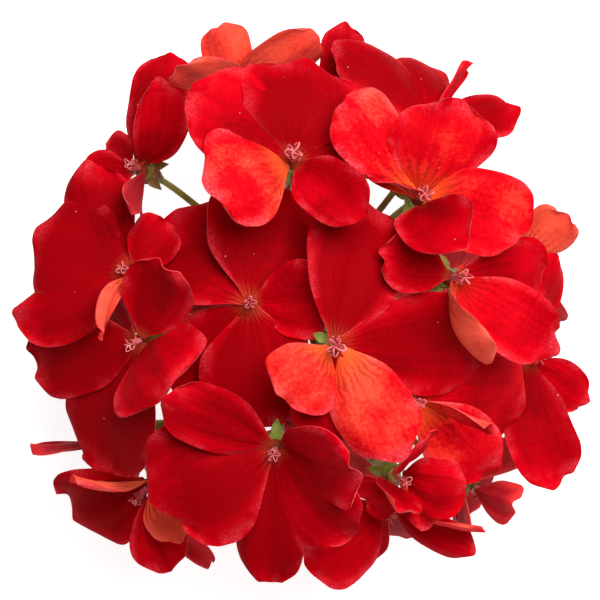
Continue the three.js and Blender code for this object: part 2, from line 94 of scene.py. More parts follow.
# The receptacle in the throat and the calyx behind it: distance from the axis, and height along it
RECEPTACLE = [(0, -1.9), (1.1, -1.85), (1.5, -1.3), (1.3, -0.7), (0.8, -0.3), (0, -0.15)]
RECEPTACLE_SIDES = 16
CALYX = [
    (0, -8.9), (0.72, -8.8), (1.05, -7.8), (1.55, -6.4), (2.0, -5.0),
    (2.35, -3.6), (2.35, -2.7), (1.95, -2.1), (0, -2.0),
]
CALYX_SIDES = 14
CALYX_BACK = 7.5  # where the pedicel meets the calyx, behind the throat
PEDICEL_SWING = 0.45  # how far a pedicel bows, as a share of the throat's distance from the hub
PEDICEL_ROOT = 3.2  # distance from the hub's middle to a pedicel's root
PEDICEL_STEPS = 19

# Sepals and bracts are small blades in rings: how many, root and tip as distance from the axis and
# height along it, and width, arch and thickness
SEPALS = (5, (1.7, -2.5), (4.6, -4.5), (2.2, 0.5, 0.35))
BRACTS = (6, (3.3, -3.0), (7.4, -6.1), (3.4, 0.8, 0.4))
BLADE_OUTLINE = [(0, 0.55), (0.15, 0.85), (0.35, 1), (0.6, 0.72), (0.85, 0.3), (1, 0.04)]
BLADE_COLUMNS = (-1, -0.5, 0, 0.5, 1)
BLADE_CUP = 0.18  # depth of a blade's hollow as a share of its width
BLADE_THINNING = 0.6  # share of its thickness that a blade loses at its margins

# Stalk and hub: distance from the axis, and height
STALK = [
    (0, -37.0), (2.1, -37.0), (2.15, -36.6), (2.0, -30), (1.95, -18),
    (2.05, -9), (2.6, -6.0), (3.6, -3.4), (4.1, -1.2), (4.1, 0.6), (3.4, 2.6), (1.8, 3.8), (0, 4.1),
]
STALK_SIDES = 24
CUT_DEPTH = 0.0001  # in metres: faces this close to the stalk's foot are its cut end

# Style, stigma and stamens, in metres, with z out of the throat
COLUMN_FOOT = (0, 0, -0.0002)
LOBE_HANDLES = [(0.0002, 0, 0.0014), (0.0029, 0.0006, 0.0012)]
LOBE_END = (0.001, 0.0007, -0.0001)
FILAMENT_FOOT = (0.0005, 0, -0.0002)
FILAMENT_HANDLES = [(0.0006, 0, 0.0014), (0.0007, 0, 0.0026)]
FILAMENT_SPREAD = 0.0011  # distance of its end from the axis
FILAMENT_RADIUS = 0.00011
ANTHER_RADIUS = 0.0003
ANTHER_STRETCH = (0.8, 1.7, 0.8)
LOBES = 5
FILAMENTS = 10
ANTHERS = 7.0  # so many of the filaments still carry an anther
COLUMN_SIZE = 0.85  # share of these sizes in most throats
LARGE_COLUMNS = {"h": 1.35, "a": 1.2, "b": 1.1, "j": 1.05}  # and in the largest blooms

# The stage, in metres
FLOOR_REACH = 3
LAMP_PLACE = (0.3, 0.5, 1.25)
LAMP_AIM = (0, 0, 0.05)
LAMP_WIDTH = 1.0
VIEW_HEIGHT = 0.06  # height at which the picture takes in the view width
SENSOR = 36
CLIPPING = (0.1, 20)

# Each bloom: its throat, the way that it faces, and its petals as tip x, y and z, width, arch, cup,
# roll in degrees, sideways bend, and tone, from 0 for deep crimson to 1 for orange-salmon; the tone also
# holds painted light and shade, as some petals are set brighter or darker than their hue for the light on
# them
BLOOMS = {
    "a": ((-1.4, 28, 29), (0, 0.35, 1), [
        (-22.5, 40.5, 33, 20, 1, 1, 0, 0, 0.3),
        (1, 47.5, 22, 25, 2.5, 0.5, 0, 0, 0.12),
        (14.5, 37, 22, 20, 1, 0.5, 0, 0, 0.02),
        (-18.5, 22.5, 42, 20, 1.5, -2, -20, 0, 0.8),
        (12.6, 15.8, 42, 12.5, 1.5, 2, 0, 0, 0.3),
    ]),
    "b": ((24, 20.5, 25), (0.25, 0.15, 1), [
        (8.5, 40.5, 33, 15.5, 2, -1.5, 0, 0, 0.88),
        (31, 40, 32, 21, 2, -1, 0, 0, 0.6),
        (45, 13, 28, 17, 2, 1, 0, -1.5, 0.75),
        (33, 10.5, 42, 15, 1, 3, 0, 2, 0.3),
        (13.8, 24.2, 37, 11.5, 1, 0, 70, 0, 0.5),
    ]),
    "c": ((-12, 43, -2), (0, 0.8, -0.6), [
        (-16.4, 55.4, 8, 10, -1, 1, 0, 0, 0.9),
        (3.8, 53.2, 8, 15, -1, 1, 0, 1, 0.8),
        (-24, 46.8, 24, 11.5, -1, 1, 0, 0, 0.9),
        (1, 41, -21, 18, -1, 1, 0, 0, 0.6),
        (-20, 38, -22, 18, -1, 1, 0, 0, 0.6),
    ]),
    "d": ((-32.5, 26.5, 5), (-0.5, 0.25, 0.8), [
        (-28.2, 44.4, 14.5, 10.5, 3, 2, 40, 1.5, 0.3),
        (-26.8, 50, -3, 13, 1, 0, 0, 1, 0.1),
        (-41, 28.5, -2, 13, 1, 0, 0, 0, 0.2),
        (-32.2, 17, 34, 6, 1, 1, 70, 0, 0),
        (-43, 22.5, 2, 12, 1, 1, 0, 0, 0.2),
    ]),
    "e": ((-34.5, 6, 19), (-0.35, 0.1, 0.95), [
        (-53, 13.3, 12, 22, 1, -1, 0, 0, 0),
        (-41.5, 27.8, 12, 14, 0, -2, 0, -2, 0.15),
        (-25.8, 15.4, 19.5, 10.5, 0.5, 0.5, 0, 0, 0.2),
        (-57.4, -3, 13, 13, 2, -1.5, 0, -3.5, 0.12),
        (-39.5, -7.5, 34, 6.5, 0.5, 2, 68, 0, 0.75),
    ]),
    "f": ((-32, -8, 21), (-0.6, -0.3, 0.75), [
        (-54, -12.5, 5, 17, 1, 0, 0, 0, 0),
        (-40, -34, 8, 24, 2, 0, 0, 0, 0),
        (-26.5, 7, 33, 14.5, -1, 1, 0, 0, 0.12),
        (-26.5, -18.5, 34, 24, 2, -1.5, -40, 0, 0.2),
        (-44, 2, 2, 12, 0, 0, 0, 0, 0),
    ]),
    "g": ((-10, -0.6, 25), (0, 0, 1), [
        (-26.5, 17, 14.5, 24, 1, -1, 0, 0, 0.15),
        (-4, 22.5, 19, 26, 1, 0, 0, 0, 0.12),
        (6, 0.5, 31, 15.5, 1, 0, 0, 0, 0.35),
        (-22.5, -21.5, 16.5, 21.8, 0.5, -2.5, 0, 0, 0.05),
        (-6.5, -25.2, 22, 24, 1, 0, 0, 0, 0.1),
    ]),
    "h": ((7, -8.6, 36), (0, -0.1, 1), [
        (13.5, 19.5, 28, 20, 2, 0.5, 0, 0, 0.08),
        (38, -8, 17.5, 20.5, 1.5, -0.5, 0, 0, 0.12),
        (20.3, -31.8, 36, 16.5, 2, -2, 0, 0, 0.86),
        (-3.5, -20, 38, 16, 2, -2, -20, 0, 0.88),
        (6, -29, 30, 15, 1, 1, 0, 0, 0.1),
    ]),
    "j": ((30.5, 4.5, 28), (0.55, 0, 0.8), [
        (38.5, -8.5, 44, 13.5, -3.5, 1, -62, -2, 1),
        (49, 4, 17, 17, 2, 1, 0, 0, 0.3),
        (51.5, -9.5, 27, 14, 4, 1, 0, 1, 0.45),
        (42, -11, 23, 12, 2, 1, 0, 0, 0.6),
        (16, 9, 36, 11.5, -0.5, 1, -5, 0, 0.2),
    ]),
    "k": ((-5, -29.6, 27), (-0.1, -0.4, 0.9), [
        (-28, -42, 24, 26, 3, -0.5, 0, 1, 0.1),
        (-27, -19.2, 37, 13, 1, 0, 0, 0, 0.15),
        (11.5, -34, 42, 18, 1, 1, 0, 0, 0.3),
        (10.5, -47.5, 26, 18, 3, -0.5, 0, 0, 0.15),
        (-6.4, -57, 18, 14, 2, -1, 0, 0, 0),
    ]),
    "l": ((-31, -38, 2), (-0.55, -0.6, 0.1), [
        (-46.5, -42, -8, 20, 3, 0, 0, 0, 0.1),
        (-27, -55, 2, 12, 1, 0, -70, 0, 0.35),
        (-45.5, -36, 12, 10, 1, 0, 0, 0, 1),
        (-18.5, -54, -10, 12, 1, 0, -30, 0, 0.3),
        (-24, -48.5, 10, 9, 1, 0, 60, 0, 1),
    ]),
    "m": ((18, -42, 2), (0.1, -0.45, 0.8), [
        (0.5, -52.5, 7, 18, 2, 0, 0, 0, 0.3),
        (35.5, -50.5, 2, 9, 1, 0, 0, 0, 0.4),
        (37, -46.2, 12, 9, 1, 0, 50, 0, 0.8),
        (3, -50, -16, 17, 1, 0, 0, 0, 0.2),
        (20, -48, -20, 16, 1, 0, 0, 0, 0.2),
    ]),
    "n": ((19.5, -35.5, 18), (0.5, -0.3, 0.8), [
        (25, -27.5, 30, 12, 1, 0, 20, 0, 0.5),
        (33.5, -38, 22, 13, 2, 0, 0, 0, 0.35),
        (29, -41.5, 12, 12, 1, 2, 0, 0, 0.6),
        (20, -42, 27, 11, 0, 1, 15, 0, 0.4),
        (12, -40, 14, 12, 1, 0, 0, 0, 0.4),
    ]),
    "p": ((23, -20, 22), (0.3, -0.2, 0.9), [
        (44.5, -22.5, 3, 21, 2, -1, -6, -2, 0.38),
        (38.5, -34.8, 10, 15, 1, -1, 0, 0, 0.75),
        (38.5, -25.8, 28, 9, 0, 0, 60, 0, 0.85),
        (12, -26, 20, 15, 0, 0, 0, 0, 0.4),
        (26, -2, 20, 15, 0, 0, 0, 0, 0.4),
    ]),
    "q": ((46, -11.5, 0), (0.7, -0.1, 0.7), [
        (53, -37.2, -2, 14, 2, 0, 20, 2, 0.2),
        (50.8, 9.2, 6, 11, 1, 0, 0, 0, 0.2),
        (58.2, -20.8, -8, 9, 1, 0, 0, 0, 0.3),
        (44, -20, -20, 14, 1, 0, 0, 0, 0.2),
        (39, -1, -6, 12, 1, 0, 0, 0, 0.2),
    ]),
    "r": ((45, 8, -7), (0.55, 0.45, -0.7), [
        (53.8, 17.2, 3, 10, 0, 2, 0, 0, 0.95),
        (37, 18, -22, 14, 0, 1, 0, 0, 0.6),
        (50, -5, -21, 12, 0, 1, 0, 0, 0.1),
        (40, 8, -25, 13, 0, 1, 0, 0, 0.6),
        (40, 20, -10, 10, 0, 1, 0, 0, 0.6),
    ]),
    "s": ((34.5, -38, -8), (0.5, -0.35, -0.7), [
        (43.2, -41.6, 2, 8.5, 0, 2, 0, 0, 0.1),
        (42, -28, -20, 14, 0, 1, 0, 0, 0.2),
        (32, -47, -16, 12, 0, 1, 0, 0, 0.2),
        (36, -32, -27, 13, 0, 1, 0, 0, 0.2),
        (36, -42, -26, 13, 0, 1, 0, 0, 0.2),
    ]),
    "t": ((26, 36, 8), (0.2, 0.6, 0.7), [
        (7, 51.5, 8, 16, 2, -1, 0, 0, 0.15),
        (20.5, 49, -4, 16, 2, -1, 0, 0, 0.15),
        (44, 38.4, 2, 10, 2, -1, 0, 1, 0.2),
        (34.2, 47.8, 0, 7, 0, 0, 75, 0, 0.5),
        (12, 36, 17, 14, 0, 0, 0, 0, 0.2),
    ]),
    "u": ((7, 38, 0), (0, 0.35, 0.9), [
        (7.5, 51.6, 1, 7, 1, 0, 0, 0, 0.1),
        (9.5, 56, -2, 9, 0, 0, 0, 0, 0.1),
        (-7.5, 35, -9, 11, 0, 0, 0, 0, 0.1),
        (22, 38, -12, 15, 0, 0, 0, 0, 0.1),
        (15, 44, -17, 14, 0, 0, 0, 0, 0.1),
    ]),
    "v": ((-34, -28, -6), (-0.7, -0.3, -0.3), [
        (-54.8, -29.8, -6, 9, 1, 0, 30, 0, 0),
        (-47, -14, -12, 16, 1, 0, 0, 0, 0.05),
        (-34, -34, -26, 14, 1, 0, 0, 0, 0.1),
        (-40, -16, -22, 14, 1, 0, 0, 0, 0.1),
        (-44, -31, -20, 13, 1, 0, 0, 0, 0.1),
    ]),
    "w": ((-4, 27, -20), (0, 0.55, -0.83), [
        (-20, 31, -36.8, 16, 1, 0, 0, 0, 0.2),
        (-4, 46, -31, 18, 1, 0, 0, 0, 0.2),
        (13, 34, -37.8, 17, 1, 0, 0, 0, 0.2),
        (7, 14, -37.5, 15, 1, 0, 0, 0, 0.2),
        (-13, 13, -37.5, 15, 1, 0, 0, 0, 0.2),
    ]),
    "x": ((-28, -4, -20), (-0.55, -0.05, -0.83), [
        (-34, 15, -37, 17, 1, 0, 0, 0, 0.2),
        (-11, 0.3, -36.6, 15, 1, 0, 0, 0, 0.2),
        (-17, -16, -37.5, 15, 1, 0, 0, 0, 0.2),
        (-36, -18, -37.5, 16, 1, 0, 0, 0, 0.2),
        (-47, 0, -30, 17, 1, 0, 0, 0, 0.2),
    ]),
    "y": ((3, -28, -20), (0.05, -0.55, -0.83), [
        (-14, -34, -35, 16, 1, 0, 0, 0, 0.2),
        (-6, -14, -37.5, 14, 1, 0, 0, 0, 0.2),
        (12, -16, -37.5, 14, 1, 0, 0, 0, 0.2),
        (20, -36, -37.5, 16, 1, 0, 0, 0, 0.2),
        (3, -47, -32, 17, 1, 0, 0, 0, 0.2),
    ]),
    "z": ((28, -2, -20), (0.55, 0, -0.83), [
        (33, 17, -37.9, 16, 1, 0, 0, 0, 0.2),
        (46, 2, -32, 17, 1, 0, 0, 0, 0.2),
        (36, -20, -37.8, 16, 1, 0, 0, 0, 0.2),
        (17, -12, -35, 12, 1, 0, 0, 0, 0.2),
        (17, 9, -37.5, 14, 1, 0, 0, 0, 0.2),
    ]),
}

GREEN_THROATS = "hpn"  # blooms whose throat shows pale green


def hex_colour(text):
    """An sRGB hex colour as linear red, green, blue and alpha."""
    parts = [int(text[i:i + 2], 16) / 255 for i in (1, 3, 5)]
    return tuple(c / 12.92 if c <= 0.04045 else ((c + 0.055) / 1.055) ** 2.4 for c in parts) + (1.0,)


def colour_property(name, description, text):
    """A colour that a user may change, as linear red, green, blue and alpha."""
    return bpy.props.FloatVectorProperty(
        name=name, description=description, subtype="COLOR", size=4, min=0, max=1, default=hex_colour(text),
    )


def length_property(name, description, metres):
    """A length that a user may change, in metres."""
    return bpy.props.FloatProperty(
        name=name, description=description, subtype="DISTANCE", unit="LENGTH", min=0, default=metres,
        precision=5,
    )


class PetalSettings(bpy.types.PropertyGroup):
    """Sizes and colours of the petals."""

    middle_thickness: length_property("Middle thickness", "Thickness of a petal down its middle", 0.00045)
    edge_thickness: length_property("Edge thickness", "Thickness of a petal at its margin", 0.00018)
    ruffle_height: length_property("Ruffle height", "How far the margin waves up and down", 0.0007)
    pleat_height: length_property(
        "Pleat height", "Height of the soft folds that run out of the throat", 0.0004,
    )
    crimson: colour_property("Crimson", "Upper face of the darkest petals", "#8c0008")
    scarlet: colour_property("Scarlet", "Upper face of the common petals", "#c00012")
    orange: colour_property("Orange", "Upper face of the brightest petals", "#ee342a")
    salmon: colour_property("Salmon", "Underside of a petal", "#ea4434")
    rim: colour_property("Rim", "The cut margin of a petal", "#e84c50")


class StamenSettings(bpy.types.PropertyGroup):
    """Sizes and colours of the stamens and the stigma."""

    style_radius: length_property("Style radius", "Radius of the style that carries the stigma", 0.00022)
    style_height: length_property("Style height", "Height of the style over the throat", 0.0036)
    lobe_radius: length_property("Lobe radius", "Radius of a stigma's lobe", 0.00013)
    filament_height: length_property("Filament height", "Height of the stamens over the throat", 0.0031)
    stigma_colour: colour_property("Stigma", "Style, stigma and filaments", "#e88088")
    anther_colour: colour_property("Anther", "Anthers at the filaments' ends", "#8e2a34")


class StemSettings(bpy.types.PropertyGroup):
    """Sizes and colours of the pedicels, calyces, stalk and hairs."""

    pedicel_radius: length_property("Pedicel radius", "Radius of a flower's own stem", 0.00068)
    hair_length: length_property("Hair length", "Length of the fine hairs", 0.0007)
    hair_radius: length_property("Hair radius", "Radius of a hair at its root", 0.00004)
    hairs_per_square_metre: bpy.props.FloatProperty(
        name="Hair density", description="Hairs on each square metre of stem", min=0, default=900000
    )
    green: colour_property("Green", "Fresh pedicels and calyces", "#7c8a34")
    olive: colour_property("Olive", "Weathered tint of the green parts", "#6e4526")
    pith: colour_property("Pith", "The cut end of the stalk", "#cfd2a0")


class StageSettings(bpy.types.PropertyGroup):
    """The pale floor, the soft studio light and the camera."""

    floor_colour: colour_property("Floor", "Colour of the floor", "#c4c4c4")
    floor_glow: bpy.props.FloatProperty(
        name="Floor glow", description="Brightness of the light that the floor gives", min=0, default=0.82
    )
    sky_strength: bpy.props.FloatProperty(
        name="Sky strength", description="Brightness of the even light all round", min=0, default=0.26
    )
    key_power: bpy.props.FloatProperty(
        name="Key power", description="Power of the main lamp", subtype="POWER", unit="POWER", min=0,
        default=29,
    )
    view_width: length_property("View width", "Width of what the picture takes in", 0.12)
    camera_distance: length_property("Camera distance", "From the camera down to the blooms", 2.4)


def add_node(tree, kind, inputs=None, take=None, stops=None, **settings):
    """Adds one node with its settings, colour stops and inputs, and returns it or the output to take."""
    node = tree.nodes.new(kind)
    for name, value in settings.items():
        setattr(node, name, value)
    for key, value in (inputs or {}).items():
        socket = node.inputs[key]
        if isinstance(value, bpy.types.NodeSocket):
            tree.links.new(value, socket)
        else:
            socket.default_value = value
    if stops:
        ramp = node.color_ramp.elements
        ramp.remove(ramp[1])
        ramp[0].position, ramp[0].color = stops[0]
        for position, colour in stops[1:]:
            ramp.new(position).color = colour
    return node if take is None else node.outputs[take]


def new_material(name, surface):
    """A material whose shader holds its even values, with the tree and shader that patterns are added to."""
    made = bpy.data.materials.new(name)
    made.use_nodes = True
    tree = made.node_tree
    tree.nodes.clear()
    shader = add_node(tree, "ShaderNodeBsdfPrincipled", surface)
    add_node(tree, "ShaderNodeOutputMaterial", {"Surface": shader.outputs["BSDF"]})
    return made, tree, shader


def mottle(tree, shader, texture, stops, kind="ShaderNodeTexNoise", take="Fac"):
    """Colours a surface in patches about one over the texture's scale across, in metres."""
    place = add_node(tree, "ShaderNodeTexCoord", take="Object")
    patch = add_node(tree, kind, {"Vector": place, **texture}, take)
    colour = add_node(tree, "ShaderNodeValToRGB", {"Fac": patch}, "Color", stops)
    tree.links.new(colour, shader.inputs["Base Color"])
    return place


def faded(tree, fades, share=1.0):
    """A share times soft fades: what each follows, where it starts and ends, and what it gives there."""
    for value, start, end, low, high in fades:
        fade = add_node(tree, "ShaderNodeMapRange", {
            0: value, 1: start, 2: end, 3: low, 4: high,
        }, 0, interpolation_type="SMOOTHSTEP")
        share = add_node(tree, "ShaderNodeMath", {0: share, 1: fade}, 0, operation="MULTIPLY")
    return share


def petal_pattern(tree, shader, stops, vein_depth, strength):
    """Colours a petal by its tone, veins and margin, with painted sheen, highlights and glints, and lifts the
    veins and the velvet's fine papillae.
    """
    plus = {"operation": "MULTIPLY_ADD"}
    power = {"operation": "POWER"}
    most = {"operation": "MAXIMUM"}
    place = add_node(tree, "ShaderNodeTexCoord", take="Object")
    petal = add_node(tree, "ShaderNodeUVMap", take="UV", uv_map="petal")
    tone_and_shade = add_node(tree, "ShaderNodeAttribute", take="Fac", attribute_name="tone_and_shade")
    across, along = add_node(tree, "ShaderNodeSeparateXYZ", {0: petal}).outputs[:2]
    # Patches of 40, 13, 5, 2.5, 0.7, 0.4 and 0.25 mm; papillae are finer than the picture shows, so they are
    # drawn 0.25 mm wide
    drift, zone, patch, wander, grain, sheen_speckle, papillae = (
        add_node(tree, "ShaderNodeTexNoise", {"Vector": place, "Scale": scale, "Detail": detail}, "Fac")
        for scale, detail in ((25, 0), (75, 1), (190, 3), (420, 4), (1400, 3), (2400, 2), (4000, 1))
    )
    # Rimward runs from 0 down the petal's middle to 1 at its margin and tip
    centred = add_node(tree, "ShaderNodeMath", {0: across, 1: 2.0, 2: -1.0}, 0, **plus)
    sideways = add_node(tree, "ShaderNodeMath", {0: centred, 1: 2.0}, 0, **power)
    outward = add_node(tree, "ShaderNodeMath", {0: along, 1: 0.0}, 0, **most)
    outward = add_node(tree, "ShaderNodeMath", {0: outward, 1: 3.0}, 0, **power)
    rimward = add_node(tree, "ShaderNodeMath", {0: sideways, 1: outward}, 0, **most)
    # Streaks run out from the claw, and no two petals share them; they raise soft folds, and in the colour
    # they are partly painted highlight along those folds
    rays = add_node(tree, "ShaderNodeCombineXYZ", {"X": across, "Y": drift}, 0)
    rays = add_node(tree, "ShaderNodeVectorMath", {0: rays, 1: (9.0, 4.0, 1.0)}, 0, operation="MULTIPLY")
    fold_and_highlight_streak = add_node(tree, "ShaderNodeTexNoise", {"Vector": rays, "Scale": 1.0, "Detail": 3}, "Fac")
    # Patches shift the shade most on bright petals, and each is weighted from its own middle, 0.5
    marks = ((zone, 1.6), (patch, 0.8), (grain, 0.7))
    shade = -0.5 * sum(weight for _, weight in marks)
    for spots, weight in marks:
        shade = add_node(tree, "ShaderNodeMath", {0: spots, 1: weight, 2: shade}, 0, **plus)
    vivid = add_node(tree, "ShaderNodeMath", {0: tone_and_shade, 1: 0.75, 2: 0.25}, 0, **plus)
    level = add_node(tree, "ShaderNodeMath", {0: tone_and_shade, 1: 0.83, 2: -0.5 * 0.36}, 0, **plus)
    shade = add_node(tree, "ShaderNodeMath", {0: shade, 1: vivid, 2: level}, 0, **plus)
    # Lighter along the streaks: painted highlight on the folds
    shade = add_node(tree, "ShaderNodeMath", {0: fold_and_highlight_streak, 1: 0.36, 2: shade}, 0, **plus)
    # Towards its margin a crimson petal is lighter, as painted highlight, and towards its middle and throat
    # darker, as painted shade; a bright one grows redder towards its margin
    rim = faded(tree, [(rimward, 0.1, 1.0, -0.45, 0.55), (tone_and_shade, 0, 1, 0.24, -0.1)])
    shade = add_node(tree, "ShaderNodeMath", {0: shade, 1: rim}, 0, operation="ADD")
    colour = add_node(tree, "ShaderNodeValToRGB", {"Fac": shade}, "Color", stops)
    # Veins fan out of the claw: broad and maroon at its end, then thread-fine and faint
    bent = add_node(tree, "ShaderNodeMath", {0: wander, 1: 0.22, 2: across}, 0, **plus)
    fan = add_node(tree, "ShaderNodeCombineXYZ", {"X": bent}, 0)
    wave = add_node(tree, "ShaderNodeTexWave", {"Vector": fan, "Scale": 2.6}, "Fac", wave_profile="SIN")
    broad = faded(tree, [(wave, 0.45, 0.95, 0, 1), (along, 0.56, 0.08, 0, 1)])
    fine = faded(tree, [(wave, 0.85, 1.0, 0, 1), (along, 0.95, 0.3, 0, 0.3)])
    veins = add_node(tree, "ShaderNodeMath", {0: broad, 1: fine}, 0, **most)
    depth = add_node(tree, "ShaderNodeMath", {0: tone_and_shade, 1: 0.85, 2: 0.08}, 0, **plus)
    depth = add_node(tree, "ShaderNodeMath", {0: veins, 1: depth}, 0, operation="MULTIPLY")
    # The claw's end glows orange on bright petals, and faint tan rays run out of every throat
    glow = faded(tree, [(along, 0.32, -0.03, 0, 1), (tone_and_shade, 0.35, 0.9, 0, 0.7)])
    claw = (along, 0.13, -0.04, 0, 1)
    tan = faded(tree, [claw, claw, (wave, 0.9, 0.2, 0.05, 0.3)])
    # Painted sheen: a pale pink painted in soft patches by the margins, where papillae catch the light,
    # most on bright petals
    lit = add_node(tree, "ShaderNodeMath", {0: tone_and_shade, 1: 0.6 * strength, 2: 0.2 * strength}, 0, **plus)
    painted_sheen = faded(tree, [
        (rimward, 0.5, 1.0, 0, 1), (sheen_speckle, 0.42, 0.66, 0.25, 1), (patch, 0.42, 0.62, 0, 1),
    ], lit)
    # Pale specks painted here and there as glints, where single cells catch the light: one in each fourth
    # cell of 3 mm, about 0.2 mm wide
    cells = add_node(tree, "ShaderNodeTexVoronoi", {"Vector": place, "Scale": 330}, voronoi_dimensions="3D")
    lot = add_node(tree, "ShaderNodeSeparateColor", {0: cells.outputs["Color"]}, 0)
    painted_glint = faded(tree, [
        (cells.outputs["Distance"], 0.05, 0.025, 0, 1), (lot, 0.74, 0.76, 0, 1),
    ], 0.7 * strength)
    # Veins, claw and tan rays are the petal's own colours; the sheen and glints over them are painted light
    for share, tint in (
        (depth, VEIN_COLOUR), (glow, CLAW_COLOUR), (tan, THROAT_COLOUR), (painted_sheen, SHEEN_PAINT_COLOUR),
        (painted_glint, GLINT_PAINT_COLOUR),
    ):
        mixed = {0: share, 6: colour, 7: hex_colour(tint)}
        colour = add_node(tree, "ShaderNodeMix", mixed, 2, data_type="RGBA")
    tree.links.new(colour, shader.inputs["Base Color"])
    raised = add_node(tree, "ShaderNodeMath", {0: veins, 1: vein_depth, 2: papillae}, 0, **plus)
    folds = add_node(tree, "ShaderNodeMath", {0: fold_and_highlight_streak, 1: 5.0, 2: raised}, 0, **plus)
    relief = {"Height": folds, "Distance": 0.00007, "Strength": 0.6}
    tree.links.new(add_node(tree, "ShaderNodeBump", relief, "Normal"), shader.inputs["Normal"])


def petal_materials(settings):
    """Petal velvet, petal back, petal rim and receptacle, in the order of a bloom's material slots."""
    # Fresh petal, upper face: a coat of fine domed papillae gives the velvet's soft pink sheen
    velvet, tree, shader = new_material("petal velvet", {
        "Roughness": 0.6, "IOR": 1.4, "Specular IOR Level": 0.02, "Sheen Weight": 0.025,
        "Sheen Roughness": 0.4, "Sheen Tint": hex_colour("#ff4050"),
        "Subsurface Weight": 0.1, "Subsurface Scale": 0.0006, "Subsurface Radius": (1.0, 0.12, 0.08),
    })
    petal_pattern(tree, shader, [
        (0.0, tuple(settings.crimson)), (0.35, tuple(settings.scarlet)),
        (0.6, hex_colour("#d80a18")), (0.85, tuple(settings.orange)), (1.0, hex_colour("#f44c36")),
    ], -1.0, 1.0)
    # Fresh petal, underside: smoother and paler, so that it reads as matt salmon
    back, tree, shader = new_material("petal underside", {
        "Roughness": 0.6, "IOR": 1.4, "Specular IOR Level": 0.1, "Sheen Weight": 0.04,
        "Sheen Roughness": 0.5, "Sheen Tint": hex_colour("#ff9080"),
        "Subsurface Weight": 0.1, "Subsurface Scale": 0.0006, "Subsurface Radius": (1.0, 0.2, 0.12),
    })
    petal_pattern(tree, shader, [
        (0.0, hex_colour("#980a1a")), (0.25, hex_colour("#cc2628")), (0.5, tuple(settings.salmon)),
        (0.9, hex_colour("#fa5e44")),
    ], 1.4, 0.3)
    # The petal's margin: a thin pale line where light passes through
    rim, tree, shader = new_material("petal margin", {
        "Roughness": 0.5, "IOR": 1.4, "Specular IOR Level": 0.3, "Sheen Weight": 0.0,
    })
    mottle(tree, shader, {"Scale": 160}, [(0.4, hex_colour("#c01020")), (0.65, tuple(settings.rim))])
    # Receptacle: a waxy boss at the throat, pale green where the bloom is fully open, and elsewhere a maroon
    # to brown darkened as painted shade deep in the throat
    throat, tree, shader = new_material("receptacle", {
        "Roughness": 0.6, "IOR": 1.4, "Specular IOR Level": 0.1,
    })
    tone_and_shade = add_node(tree, "ShaderNodeAttribute", take="Fac", attribute_name="tone_and_shade")
    place = add_node(tree, "ShaderNodeTexCoord", take="Object")
    grain = add_node(tree, "ShaderNodeTexNoise", {"Vector": place, "Scale": 1200}, "Fac")
    mixed = add_node(tree, "ShaderNodeMath", {0: grain, 1: 0.3, 2: tone_and_shade}, 0, operation="MULTIPLY_ADD")
    colour = add_node(tree, "ShaderNodeValToRGB", {"Fac": mixed}, "Color", [
        (0.05, hex_colour("#5c1410")), (0.3, hex_colour("#7c3a1c")), (1.0, hex_colour("#a4a456")),
    ])
    tree.links.new(colour, shader.inputs["Base Color"])
    return [velvet, back, rim, throat]


def stamen_materials(settings):
    """Stigma and anther, which every column shares."""
    # Stigma and filaments: moist, slightly see-through tissue, so the light softens in it
    stigma, tree, shader = new_material("stigma", {
        "Roughness": 0.4, "IOR": 1.38, "Specular IOR Level": 0.4,
        "Subsurface Weight": 0.3, "Subsurface Scale": 0.0004, "Subsurface Radius": (1.0, 0.4, 0.3),
    })
    mottle(tree, shader, {"Scale": 700}, [
        (0.3, hex_colour("#c84858")), (0.6, tuple(settings.stigma_colour)), (0.8, hex_colour("#ffb0a8")),
    ])
    # Anthers: dusty with pollen, so matt and grainy
    anther, tree, shader = new_material("anther", {
        "Roughness": 0.85, "IOR": 1.4, "Specular IOR Level": 0.15,
    })
    mottle(tree, shader, {"Scale": 5000}, [
        (0.35, tuple(settings.anther_colour)), (0.7, hex_colour("#c86a50")),
    ])
    return stigma, anther


def stem_materials(settings):
    """Green stem, pith and hair."""
    # Pedicels and calyces: herbaceous skin, green with brownish red where the sun has tanned it
    skin, tree, shader = new_material("green stem", {
        "Roughness": 0.5, "IOR": 1.4, "Specular IOR Level": 0.35,
        "Subsurface Weight": 0.1, "Subsurface Scale": 0.0008, "Subsurface Radius": (0.4, 1.0, 0.2),
    })
    place = mottle(tree, shader, {"Scale": 140, "Detail": 3}, [
        (0.3, hex_colour("#98a44c")), (0.48, tuple(settings.green)), (0.68, tuple(settings.olive)),
    ])
    ribs = add_node(tree, "ShaderNodeTexNoise", {"Vector": place, "Scale": 1800, "Detail": 2}, "Fac")
    relief = {"Height": ribs, "Distance": 0.0001, "Strength": 0.4}
    tree.links.new(add_node(tree, "ShaderNodeBump", relief, "Normal"), shader.inputs["Normal"])
    # Pith: the pale, spongy, damp middle of a stalk that was cut across
    pith, tree, shader = new_material("stalk pith", {
        "Roughness": 0.6, "IOR": 1.38, "Specular IOR Level": 0.3,
    })
    mottle(tree, shader, {"Scale": 3500}, [
        (0.1, tuple(settings.pith)), (0.8, hex_colour("#9aa866")),
    ], "ShaderNodeTexVoronoi", "Distance")
    # Hairs: clear and fine, so they read as a pale bloom on the green
    hair, tree, shader = new_material("stem hair", {
        "Roughness": 0.4, "IOR": 1.45, "Specular IOR Level": 0.4,
    })
    mottle(tree, shader, {"Scale": 900}, [(0.3, hex_colour("#c8c890")), (0.7, hex_colour("#ece6cc"))])
    return skin, pith, hair


def unit(vector):
    """A vector of length one, or a field of them along the last axis."""
    return vector / np.linalg.norm(vector, axis=-1, keepdims=True)


